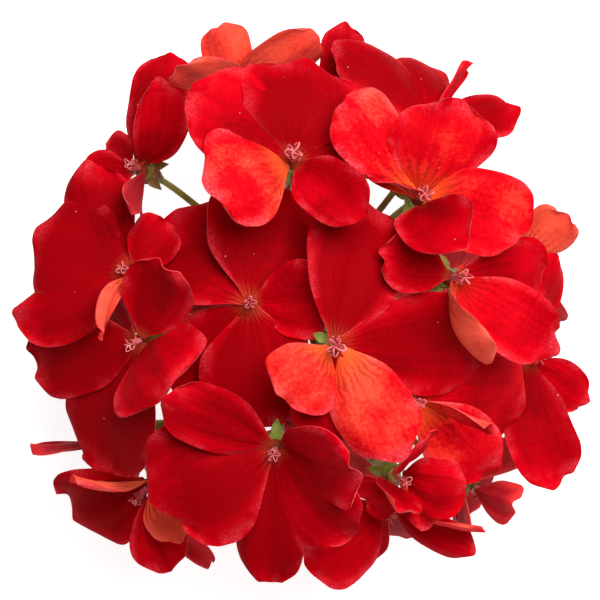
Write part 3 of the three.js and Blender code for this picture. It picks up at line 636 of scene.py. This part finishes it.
def outline_width(v):
    """A petal's width at v as a share of its full width, on a smooth line through the outline's points."""
    at, width = np.array(PETAL_OUTLINE).T
    slope = np.gradient(width, at)
    i = np.clip(np.searchsorted(at, v, side="right") - 1, 0, len(at) - 2)
    gap = at[i + 1] - at[i]
    t = (v - at[i]) / gap
    return (
        width[i] * (1 + 2 * t) * (1 - t) ** 2 + slope[i] * gap * t * (1 - t) ** 2
        + width[i + 1] * t * t * (3 - 2 * t) + slope[i + 1] * gap * t * t * (t - 1)
    )


def waves(parts, u, v, phase):
    """A sum of waves over a petal, at u from its middle and v along it."""
    return sum(
        share * np.sin(across * u + along * v + shift * phase) for share, across, along, shift in parts
    )


def petal_faces(throat, face, row, phase, settings):
    """The points of a petal's upper and lower faces as two grids, and the grid of its own coordinates."""
    width, arch, cup, roll, bend = row[3:8]
    tip = np.array(row[:3], float)
    out = tip - throat
    flat = unit(out - face * (out @ face))
    base = throat + flat * CLAW_START
    chord = tip - base
    along = unit(chord)
    level = unit(np.cross(along, face))
    turn = math.radians(roll + PETAL_LAP)
    side = level * math.cos(turn) + np.cross(along, level) * math.sin(turn)
    up = np.cross(side, along)
    bow = up * arch + side * bend
    # v runs along the petal from just behind its claw, and u from one margin to the other
    step = np.linspace(0, 1, ROWS_ALONG + 1)
    behind = PETAL_OUTLINE[0][0]
    v = (behind + (1 - behind) * np.sin(step * math.pi / 2) ** ROW_CROWDING)[:, None]
    crowding = COLUMN_CROWDING * math.pi
    u = np.sin(np.linspace(-crowding, crowding, COLUMNS_ACROSS + 1))[None, :] / math.sin(crowding)
    far = np.clip(v, 0, 1)
    half = width / 2 * outline_width(v) * (1 + EDGE_WANDER * waves(SIDE_WAVES, u, v, phase))
    s = v - TIP_ROUNDING * u * u * v + EDGE_WANDER * far ** 5 * waves(TIP_WAVES, u, v, phase)
    line = unit(chord + bow * (4 * (1 - 2 * s))[..., None])
    across = unit(side - line * (line @ side)[..., None])
    normal = np.cross(across, line)
    # The ruffle grows towards the margins and the tip, and the pleats towards the claw
    edge = u ** 4 + far ** 6 - u ** 4 * far ** 6
    ruffle = settings.ruffle_height / MM * min(1, width / FULL_WIDTH) * edge * np.clip(v * 2, 0, 1)
    ruffle = ruffle * waves(RUFFLE_WAVES, u, v, phase)
    pleat = settings.pleat_height / MM * np.clip(1 - v, 0, 1) ** 0.8 * np.clip(v * 3, 0, 1)
    turns, spread = PLEATS
    deep, narrow = MIDRIB
    folds = np.cos(u * (turns + spread * math.sin(phase * 3)) + phase * 2)
    pleat = pleat * (folds - deep * np.exp(-(u / narrow) ** 2))
    broad = PETAL_WAVE * v * v * np.sin(math.pi * (WAVES_ACROSS * u + phase))
    rise = cup * u * u * outline_width(v) + broad + ruffle + pleat
    middle = base + chord * s[..., None] + bow * (4 * s * (1 - s))[..., None]
    middle = middle + across * (half * u)[..., None] + normal * rise[..., None]
    thickness = settings.middle_thickness + (settings.edge_thickness - settings.middle_thickness) * edge
    lift = normal * (thickness / MM / 2)[..., None]
    upper, lower = middle + lift, middle - lift
    # What would sink into the surface lies on it instead
    sunk = np.maximum(0, SURFACE - np.minimum(upper[..., 2], lower[..., 2]))
    upper[..., 2] += sunk
    lower[..., 2] += sunk
    own = np.stack(np.broadcast_arrays(0.5 + 0.5 * u, v), axis=-1)
    return upper, lower, own


def square_to(axis):
    """Two directions square to an axis and to each other."""
    helper = np.array([1.0, 0, 0]) if abs(axis[0]) < 0.8 else np.array([0, 1.0, 0])
    first = unit(np.cross(axis, helper))
    return first, np.cross(axis, first)


def lathe(profile, centre, axis, sides):
    """A turned form's points and faces: profile holds distance from the axis and height along it."""
    first, second = square_to(axis)
    angle = np.arange(sides) / sides * 2 * math.pi
    points, faces, rings = [], [], []
    for radius, height in profile:
        if radius == 0:
            rings.append([len(points)])
            points.append(centre + axis * height)
            continue
        rings.append(list(range(len(points), len(points) + sides)))
        for a in angle:
            points.append(centre + axis * height + (first * math.cos(a) + second * math.sin(a)) * radius)
    for low, high in zip(rings, rings[1:]):
        for k in range(sides):
            m = (k + 1) % sides
            ring = [low[k % len(low)], low[m % len(low)], high[m % len(high)], high[k % len(high)]]
            faces.append(tuple(dict.fromkeys(ring)))
    return points, faces


def add_object(name, data):
    """A new object in the scene, at the origin."""
    made = bpy.data.objects.new(name, data)
    bpy.context.scene.collection.objects.link(made)
    return made


def make_object(name, points, faces, materials):
    """A mesh object in metres, from points in the head's millimetres."""
    mesh = bpy.data.meshes.new(name)
    mesh.from_pydata((np.array(points) + HEAD_PLACE) * MM, [], faces)
    for material in materials:
        mesh.materials.append(material)
    return add_object(name, mesh)


def smooth_mesh(mesh, degrees):
    """Smooth shading, with folds sharper than the angle left crisp."""
    mesh.polygons.foreach_set("use_smooth", np.ones(len(mesh.polygons), bool))
    mesh.set_sharp_from_angle(angle=math.radians(degrees))


def grid_faces(first, rows, columns, turned):
    """The four-sided faces of a grid of points, turned to face the other way if asked."""
    faces = []
    for i in range(rows):
        for j in range(columns):
            a = first + i * (columns + 1) + j
            b, c, d = a + 1, a + columns + 2, a + columns + 1
            faces.append((a, d, c, b) if turned else (a, b, c, d))
    return faces


def build_bloom(letter, index, materials, settings):
    """One bloom: five petals with two faces and a margin each, and the receptacle in its throat."""
    throat, face, petals = BLOOMS[letter]
    throat, face = np.array(throat, float), unit(np.array(face, float))
    points, faces, kinds, tones_and_shades, own = [], [], [], [], []
    size = (ROWS_ALONG + 1) * (COLUMNS_ACROSS + 1)
    ring = list(range(COLUMNS_ACROSS))
    ring += [i * (COLUMNS_ACROSS + 1) + COLUMNS_ACROSS for i in range(ROWS_ALONG)]
    ring += [size - 1 - j for j in range(COLUMNS_ACROSS)]
    ring += [size - (COLUMNS_ACROSS + 1) - i * (COLUMNS_ACROSS + 1) for i in range(ROWS_ALONG)]
    for number, row in enumerate(petals):
        phase = BLOOM_PHASE * index + PETAL_PHASE * number
        upper, lower, place = petal_faces(throat, face, row, phase, settings)
        start = len(points)
        points += list(upper.reshape(-1, 3)) + list(lower.reshape(-1, 3))
        own += list(place.reshape(-1, 2)) * 2
        # Every point keeps its petal's tone: its hue, with painted light and shade in it
        tones_and_shades += [row[8]] * (2 * size)
        top = grid_faces(start, ROWS_ALONG, COLUMNS_ACROSS, False)
        under = grid_faces(start + size, ROWS_ALONG, COLUMNS_ACROSS, True)
        margin = []
        for a, b in zip(ring, ring[1:] + ring[:1]):
            margin.append((start + a, start + size + a, start + size + b, start + b))
        faces += top + under + margin
        kinds += [0] * len(top) + [1] * len(under) + [2] * len(margin)
    boss, boss_faces = lathe(RECEPTACLE, throat, face, RECEPTACLE_SIDES)
    faces += [tuple(len(points) + k for k in f) for f in boss_faces]
    kinds += [3] * len(boss_faces)
    points += boss
    own += [(0.5, 0.0)] * len(boss)
    tones_and_shades += [1.0 if letter in GREEN_THROATS else 0.0] * len(boss)
    made = make_object(f"petals_{letter}", points, faces, materials)
    mesh = made.data
    mesh.polygons.foreach_set("material_index", kinds)
    mesh.attributes.new("tone_and_shade", "FLOAT", "POINT").data.foreach_set("value", np.array(tones_and_shades, np.float32))
    corner = np.zeros(len(mesh.loops), np.int32)
    mesh.loops.foreach_get("vertex_index", corner)
    mesh.uv_layers.new(name="petal").data.foreach_set("uv", np.array(own, np.float32)[corner].ravel())
    smooth_mesh(mesh, 50)
    return made


def blade(root, tip, side, up, size):
    """A small leaf-like blade's closed points and faces, from its root to its tip."""
    width, arch, thickness = size
    points = []
    for lift in (thickness / 2, -thickness / 2):
        for v, share in BLADE_OUTLINE:
            for u in BLADE_COLUMNS:
                at = root + (tip - root) * v + side * (width / 2 * share * u)
                at = at + up * (arch * 4 * v * (1 - v) - BLADE_CUP * width * share * (1 - u * u))
                points.append(at + up * lift * (1 - BLADE_THINNING * u * u))
    rows, columns = len(BLADE_OUTLINE) - 1, len(BLADE_COLUMNS) - 1
    wide = columns + 1
    count = (rows + 1) * wide
    faces = grid_faces(0, rows, columns, False) + grid_faces(count, rows, columns, True)
    ring = list(range(columns)) + [i * wide + columns for i in range(rows)]
    ring += [count - 1 - j for j in range(columns)] + [count - wide - i * wide for i in range(rows)]
    for a, b in zip(ring, ring[1:] + ring[:1]):
        faces.append((a, count + a, count + b, b))
    return points, faces


def add_part(points, faces, part):
    """Adds one part's points and faces to the lists of a piece."""
    start = len(points)
    points += list(part[0])
    faces += [tuple(start + k for k in f) for f in part[1]]


def leaf_ring(points, faces, centre, axis, ring):
    """Adds a ring of sepals or bracts round an axis."""
    count, root, tip, size = ring
    first, second = square_to(axis)
    for k in range(count):
        angle = 2 * math.pi * k / count
        away = first * math.cos(angle) + second * math.sin(angle)
        start = centre + away * root[0] + axis * root[1]
        end = centre + away * tip[0] + axis * tip[1]
        side = np.cross(axis, away)
        up = np.cross(unit(end - start), side)
        add_part(points, faces, blade(start, end, side, up, size))


def finish_mesh(made, degrees=50):
    """Turns every face outwards and smooths the piece."""
    work = bmesh.new()
    work.from_mesh(made.data)
    bmesh.ops.recalc_face_normals(work, faces=work.faces)
    work.to_mesh(made.data)
    work.free()
    smooth_mesh(made.data, degrees)


def settle(made, nodes):
    """Makes a finished piece ride on the head and stand for its CAD nodes."""
    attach(made, "root")
    if nodes:
        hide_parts(*nodes)


def nodes_tree(name, numbers):
    """An empty Geometry Nodes tree with a geometry input and output and named number inputs."""
    tree = bpy.data.node_groups.new(name, "GeometryNodeTree")
    tree.interface.new_socket("Geometry", in_out="INPUT", socket_type="NodeSocketGeometry")
    tree.interface.new_socket("Geometry", in_out="OUTPUT", socket_type="NodeSocketGeometry")
    for label in numbers:
        tree.interface.new_socket(label, in_out="INPUT", socket_type="NodeSocketFloat")
    return tree, add_node(tree, "NodeGroupInput").outputs


def grown(source, tree, values, name):
    """The plain mesh that a tree makes of an object, as a new object; the source is removed."""
    modifier = source.modifiers.new("grow", "NODES")
    modifier.node_group = tree
    for item in tree.interface.items_tree:
        if item.in_out == "INPUT" and item.name in values:
            modifier[item.identifier] = values[item.name]
    graph = bpy.context.evaluated_depsgraph_get()
    mesh = bpy.data.meshes.new_from_object(source.evaluated_get(graph))
    mesh.name = name
    bpy.data.objects.remove(source)
    return add_object(name, mesh)


def stamen_tree(stigma, anther):
    """Puts a style, five curled stigma lobes and a ring of stamens on every point, along its face."""
    tree, given = nodes_tree("stamens", ["Style radius", "Style height", "Lobe radius", "Filament height"])
    # Each lobe, stamen and column leans, turns and grows a little its own way: lowest, highest and seed
    tilt, nod, curl, lean, reach, spin = (
        add_node(tree, "FunctionNodeRandomValue", {2: low, 3: high, "Seed": seed}, 1, data_type="FLOAT")
        for low, high, seed in (
            (-0.5, 0.5, 3), (-0.5, 0.3, 8), (0.75, 1.15, 6), (-0.12, 0.12, 7), (0.75, 1.1, 11), (0, 6.28, 5),
        )
    )
    top = add_node(tree, "ShaderNodeCombineXYZ", {"Z": given["Style height"]}, 0)
    line = add_node(tree, "GeometryNodeCurvePrimitiveLine", {"Start": COLUMN_FOOT, "End": top}, 0)
    line = add_node(tree, "GeometryNodeResampleCurve", {"Curve": line, "Count": 5}, 0)
    # A lobe rises from the style's top and curls outwards, down and back in, and a filament leans outwards
    end = add_node(tree, "ShaderNodeCombineXYZ", {"X": FILAMENT_SPREAD, "Z": given["Filament height"]}, 0)
    curl_line, thread_line = (
        add_node(tree, "GeometryNodeCurvePrimitiveBezierSegment", {
            "Start": foot, "Start Handle": near, "End Handle": far, "End": stop, "Resolution": steps,
        }, 0, mode="POSITION")
        for foot, (near, far), stop, steps in (
            (COLUMN_FOOT, LOBE_HANDLES, LOBE_END, 8), (FILAMENT_FOOT, FILAMENT_HANDLES, end, 5),
        )
    )
    six, five = (
        add_node(tree, "GeometryNodeCurvePrimitiveCircle", {"Resolution": sides, "Radius": 1.0}, 0)
        for sides in (6, 5)
    )
    style, lobe, thread = (
        add_node(tree, "GeometryNodeCurveToMesh", {
            "Curve": path, "Profile Curve": profile, "Fill Caps": True, "Scale": radius,
        }, 0)
        for path, profile, radius in (
            (line, six, given["Style radius"]), (curl_line, six, given["Lobe radius"]),
            (thread_line, five, FILAMENT_RADIUS),
        )
    )
    bead = add_node(tree, "GeometryNodeMeshUVSphere", {"Segments": 6, "Rings": 4, "Radius": ANTHER_RADIUS}, 0)
    bead = add_node(tree, "GeometryNodeTransform", {
        "Geometry": bead, "Translation": end, "Scale": ANTHER_STRETCH,
    }, 0)
    bead = add_node(tree, "GeometryNodeStoreNamedAttribute", {
        "Geometry": bead, "Name": "pollen", "Value": 1.0,
    }, 0, data_type="FLOAT", domain="POINT")
    # The lobes stand on the style's top, and the stamens round its foot, where not all carry an anther
    order = add_node(tree, "GeometryNodeInputIndex", take=0)
    lobe_points, stamen_points = (
        add_node(tree, "GeometryNodeMeshLine", {"Count": count, "Offset": (0, 0, 0)}, 0)
        for count in (LOBES, FILAMENTS)
    )
    lobe_points = add_node(tree, "GeometryNodeSetPosition", {"Geometry": lobe_points, "Offset": top}, 0)
    fifth, tenth = (
        add_node(tree, "ShaderNodeMath", {0: order, 1: 2 * math.pi / count}, 0, operation="MULTIPLY")
        for count in (LOBES, FILAMENTS)
    )
    round_lobes = add_node(tree, "ShaderNodeCombineXYZ", {"X": tilt, "Y": nod, "Z": fifth}, 0)
    round_stamens = add_node(tree, "ShaderNodeCombineXYZ", {"X": lean, "Y": lean, "Z": tenth}, 0)
    carries = add_node(tree, "FunctionNodeCompare", {
        0: order, 1: ANTHERS,
    }, 0, data_type="FLOAT", operation="LESS_THAN")
    joined = add_node(tree, "GeometryNodeJoinGeometry")
    tree.links.new(style, joined.inputs[0])
    for points, part, turn, size, chosen in (
        (lobe_points, lobe, round_lobes, curl, True), (stamen_points, thread, round_stamens, reach, True),
        (stamen_points, bead, round_stamens, reach, carries),
    ):
        copies = add_node(tree, "GeometryNodeInstanceOnPoints", {
            "Points": points, "Instance": part, "Rotation": turn, "Scale": size, "Selection": chosen,
        }, 0)
        tree.links.new(copies, joined.inputs[0])
    whole = add_node(tree, "GeometryNodeRealizeInstances", {"Geometry": joined.outputs[0]}, 0)
    face = add_node(tree, "GeometryNodeInputNamedAttribute", {"Name": "face"}, 0, data_type="FLOAT_VECTOR")
    scale = add_node(tree, "GeometryNodeInputNamedAttribute", {"Name": "size"}, 0, data_type="FLOAT")
    aimed = add_node(tree, "FunctionNodeAlignRotationToVector", {"Vector": face}, 0, axis="Z")
    own = add_node(tree, "ShaderNodeCombineXYZ", {"Z": spin}, 0)
    turned = add_node(tree, "FunctionNodeRotateRotation", {0: aimed, 1: own}, 0, rotation_space="LOCAL")
    placed = add_node(tree, "GeometryNodeInstanceOnPoints", {
        "Points": given["Geometry"], "Instance": whole, "Rotation": turned, "Scale": scale,
    }, 0)
    real = add_node(tree, "GeometryNodeRealizeInstances", {"Geometry": placed}, 0)
    smooth = add_node(tree, "GeometryNodeSetShadeSmooth", {"Geometry": real, "Shade Smooth": True}, 0)
    dusty = add_node(tree, "GeometryNodeInputNamedAttribute", {"Name": "pollen"}, 0, data_type="FLOAT")
    chosen = add_node(tree, "FunctionNodeCompare", {
        0: dusty, 1: 0.5,
    }, 0, data_type="FLOAT", operation="GREATER_THAN")
    painted = add_node(tree, "GeometryNodeSetMaterial", {"Geometry": smooth, "Material": stigma}, 0)
    tipped = add_node(tree, "GeometryNodeSetMaterial", {
        "Geometry": painted, "Selection": chosen, "Material": anther,
    }, 0)
    add_node(tree, "NodeGroupOutput", {0: tipped})
    return tree


def stem_tree(skin):
    """Makes a stem of every curve, a little thicker at its root than at its calyx."""
    tree, given = nodes_tree("pedicels", ["Radius"])
    line = add_node(tree, "GeometryNodeResampleCurve", {"Curve": given["Geometry"], "Count": 16}, 0)
    share = add_node(tree, "GeometryNodeSplineParameter", take="Factor")
    taper = add_node(tree, "ShaderNodeMapRange", {0: share, 1: 0.0, 2: 1.0, 3: 1.1, 4: 0.92}, 0)
    thick = add_node(tree, "ShaderNodeMath", {0: taper, 1: given["Radius"]}, 0, operation="MULTIPLY")
    ring = add_node(tree, "GeometryNodeCurvePrimitiveCircle", {"Resolution": 10, "Radius": 1.0}, 0)
    tube = add_node(tree, "GeometryNodeCurveToMesh", {
        "Curve": line, "Profile Curve": ring, "Fill Caps": True, "Scale": thick,
    }, 0)
    real = add_node(tree, "GeometryNodeRealizeInstances", {"Geometry": tube}, 0)
    painted = add_node(tree, "GeometryNodeSetMaterial", {"Geometry": real, "Material": skin}, 0)
    add_node(tree, "NodeGroupOutput", {0: painted})
    return tree


def hair_tree(hair):
    """Scatters fine tapering hairs over a surface, each leaning a little its own way."""
    tree, given = nodes_tree("hairs", ["Density", "Length", "Radius"])
    # None grows on the stalk's cut end, nor closer to the surface below than its own length
    place = add_node(tree, "GeometryNodeInputPosition", take=0)
    height = add_node(tree, "ShaderNodeSeparateXYZ", {0: place}, "Z")
    clear = add_node(tree, "FunctionNodeCompare", {
        0: height, 1: given["Length"],
    }, 0, data_type="FLOAT", operation="GREATER_THAN")
    spread = add_node(tree, "GeometryNodeDistributePointsOnFaces", {
        "Mesh": given["Geometry"], "Selection": clear, "Density": given["Density"], "Seed": 4,
    }, distribute_method="RANDOM")
    cone = add_node(tree, "GeometryNodeMeshCone", {
        "Vertices": 3, "Radius Top": 0.0, "Radius Bottom": given["Radius"], "Depth": given["Length"],
    }, "Mesh", fill_type="NGON")
    lean = add_node(tree, "FunctionNodeRandomValue", {
        0: (-0.5, -0.5, 0), 1: (0.5, 0.5, 6.28), "Seed": 9,
    }, 0, data_type="FLOAT_VECTOR")
    turned = add_node(tree, "FunctionNodeRotateRotation", {
        0: spread.outputs["Rotation"], 1: lean,
    }, 0, rotation_space="LOCAL")
    size = add_node(tree, "FunctionNodeRandomValue", {2: 0.6, 3: 1.1, "Seed": 2}, 1, data_type="FLOAT")
    placed = add_node(tree, "GeometryNodeInstanceOnPoints", {
        "Points": spread.outputs["Points"], "Instance": cone, "Rotation": turned, "Scale": size,
    }, 0)
    real = add_node(tree, "GeometryNodeRealizeInstances", {"Geometry": placed}, 0)
    painted = add_node(tree, "GeometryNodeSetMaterial", {"Geometry": real, "Material": hair}, 0)
    add_node(tree, "NodeGroupOutput", {0: painted})
    return tree


class FLOWER_OT_petals(bpy.types.Operator):
    """Builds the petals of every bloom, with the receptacle in its throat"""

    bl_idname = "flower.petals"
    bl_label = "Petals"

    def execute(self, context):
        settings = context.scene.flower_petals
        materials = petal_materials(settings)
        for index, letter in enumerate(BLOOMS):
            made = build_bloom(letter, index, materials, settings)
            settle(made, [f"bloom_{letter}"])
        return {"FINISHED"}


class FLOWER_OT_stamens(bpy.types.Operator):
    """Grows the style, stigma and stamens in every throat"""

    bl_idname = "flower.stamens"
    bl_label = "Stamens"

    def execute(self, context):
        settings = context.scene.flower_stamens
        throats = [bloom[0] for bloom in BLOOMS.values()]
        points = make_object("throats", throats, [], [])
        faces = unit(np.array([bloom[1] for bloom in BLOOMS.values()], float))
        sizes = [LARGE_COLUMNS.get(letter, COLUMN_SIZE) for letter in BLOOMS]
        data = points.data.attributes
        data.new("face", "FLOAT_VECTOR", "POINT").data.foreach_set("vector", faces.astype(np.float32).ravel())
        data.new("size", "FLOAT", "POINT").data.foreach_set("value", np.array(sizes, np.float32))
        made = grown(points, stamen_tree(*stamen_materials(settings)), {
            "Style radius": settings.style_radius, "Style height": settings.style_height,
            "Lobe radius": settings.lobe_radius, "Filament height": settings.filament_height,
        }, "stamens")
        settle(made, [f"column_{letter}" for letter in BLOOMS])
        return {"FINISHED"}


class FLOWER_OT_stems(bpy.types.Operator):
    """Builds the pedicels, the calyces with their sepals, the bracts and the cut stalk, with their hairs"""

    bl_idname = "flower.stems"
    bl_label = "Stems and calyces"

    def execute(self, context):
        settings = context.scene.flower_stems
        skin, pith, hair = stem_materials(settings)
        curve = bpy.data.curves.new("pedicel lines", "CURVE")
        curve.dimensions = "3D"
        points, faces = [], []
        for throat, face, _ in BLOOMS.values():
            throat, face = np.array(throat, float), unit(np.array(face, float))
            control = throat - face * np.linalg.norm(throat) * PEDICEL_SWING
            end = throat - face * CALYX_BACK
            start = unit(control) * PEDICEL_ROOT
            spline = curve.splines.new("POLY")
            spline.points.add(PEDICEL_STEPS)
            for k, point in enumerate(spline.points):
                t = k / PEDICEL_STEPS
                at = start * (1 - t) ** 2 + control * 2 * t * (1 - t) + end * t * t
                point.co = (*((at + HEAD_PLACE) * MM), 1)
            add_part(points, faces, lathe(CALYX, throat, face, CALYX_SIDES))
            leaf_ring(points, faces, throat, face, SEPALS)
        lines = add_object("pedicel lines", curve)
        pedicels = grown(lines, stem_tree(skin), {"Radius": settings.pedicel_radius}, "pedicels")
        finish_mesh(pedicels)
        calyces = make_object("calyces", points, faces, [skin])
        finish_mesh(calyces)
        points, faces = [], []
        upright = np.array([0.0, 0.0, 1.0])
        add_part(points, faces, lathe(STALK, np.zeros(3), upright, STALK_SIDES))
        leaf_ring(points, faces, np.zeros(3), upright, BRACTS)
        stalk = make_object("cut_stalk", points, faces, [skin, pith])
        finish_mesh(stalk, 35)
        low = stalk.data.vertices[0].co.z + CUT_DEPTH
        for polygon in stalk.data.polygons:
            if all(stalk.data.vertices[k].co.z < low for k in polygon.vertices):
                polygon.material_index = 1
        for made in (pedicels, calyces, stalk):
            cover = add_object("cover", made.data.copy())
            hairs = grown(cover, hair_tree(hair), {
                "Density": settings.hairs_per_square_metre, "Length": settings.hair_length,
                "Radius": settings.hair_radius,
            }, f"hairs_on_{made.name}")
            settle(made, ["flower_stalk"])
            settle(hairs, [])
        return {"FINISHED"}


class FLOWER_OT_stage(bpy.types.Operator):
    """Lays the pale floor, sets the soft studio light and places the camera over the blooms"""

    bl_idname = "flower.stage"
    bl_label = "Stage and camera"

    def execute(self, context):
        settings = context.scene.flower_stage
        scene = context.scene
        # White acrylic of a light table: a matt pale sheet that glows a little, so that shadows stay light
        floor, tree, shader = new_material("white acrylic sheet", {
            "Roughness": 0.9, "Specular IOR Level": 0.1, "Emission Color": (1, 1, 1, 1),
            "Emission Strength": settings.floor_glow,
        })
        mottle(tree, shader, {"Scale": 900}, [
            (0.3, tuple(settings.floor_colour)), (0.7, hex_colour("#cacaca")),
        ])
        corners = [(x * FLOOR_REACH, y * FLOOR_REACH, 0) for x, y in ((-1, -1), (1, -1), (1, 1), (-1, 1))]
        mesh = bpy.data.meshes.new("floor")
        mesh.from_pydata(corners, [], [(0, 1, 2, 3)])
        mesh.materials.append(floor)
        ground = add_object("floor", mesh)
        world = bpy.data.worlds.new("studio")
        world.use_nodes = True
        sky = world.node_tree.nodes["Background"]
        sky.inputs["Color"].default_value = (1, 1, 1, 1)
        sky.inputs["Strength"].default_value = settings.sky_strength
        scene.world = world
        key = bpy.data.lights.new("key", "AREA")
        key.shape = "DISK"
        key.size = LAMP_WIDTH
        key.energy = settings.key_power
        lamp = add_object("key", key)
        lamp.location = LAMP_PLACE
        lamp.rotation_euler = (Vector(LAMP_AIM) - lamp.location).to_track_quat("-Z", "Y").to_euler()
        camera = add_object("camera", bpy.data.cameras.new("camera"))
        x, y, _ = HEAD_PLACE * MM
        camera.location = (x, y, VIEW_HEIGHT + settings.camera_distance)
        camera.data.sensor_width = SENSOR
        camera.data.lens = SENSOR * settings.camera_distance / settings.view_width
        camera.data.clip_start, camera.data.clip_end = CLIPPING
        scene.camera = camera
        scene.view_settings.view_transform = "Standard"
        return {"FINISHED"}


class FLOWER_PT_panel(bpy.types.Panel):
    """Lists what builds the flower head"""

    bl_idname = "FLOWER_PT_panel"
    bl_label = "Flower head"
    bl_space_type = "VIEW_3D"
    bl_region_type = "UI"
    bl_category = "Flower head"

    def draw(self, context):
        for step, group in STEPS:
            self.layout.operator(step)
            settings = getattr(context.scene, group)
            for name in settings.__annotations__:
                self.layout.prop(settings, name)


STEPS = [
    ("flower.petals", "flower_petals"),
    ("flower.stamens", "flower_stamens"),
    ("flower.stems", "flower_stems"),
    ("flower.stage", "flower_stage"),
]
SETTINGS = {
    "flower_petals": PetalSettings,
    "flower_stamens": StamenSettings,
    "flower_stems": StemSettings,
    "flower_stage": StageSettings,
}
CLASSES = (
    *SETTINGS.values(), FLOWER_OT_petals, FLOWER_OT_stamens, FLOWER_OT_stems, FLOWER_OT_stage,
    FLOWER_PT_panel,
)


def register():
    """Registers the settings, the operators and the panel."""
    for cls in CLASSES:
        bpy.utils.register_class(cls)
    for group, cls in SETTINGS.items():
        setattr(bpy.types.Scene, group, bpy.props.PointerProperty(type=cls))


def unregister():
    """Takes the settings, the operators and the panel away again."""
    for group in SETTINGS:
        delattr(bpy.types.Scene, group)
    for cls in reversed(CLASSES):
        bpy.utils.unregister_class(cls)


def main():
    """Builds every piece in order."""
    register()
    bpy.ops.flower.petals()
    bpy.ops.flower.stamens()
    bpy.ops.flower.stems()
    bpy.ops.flower.stage()


if __name__ == "__main__":
    main()
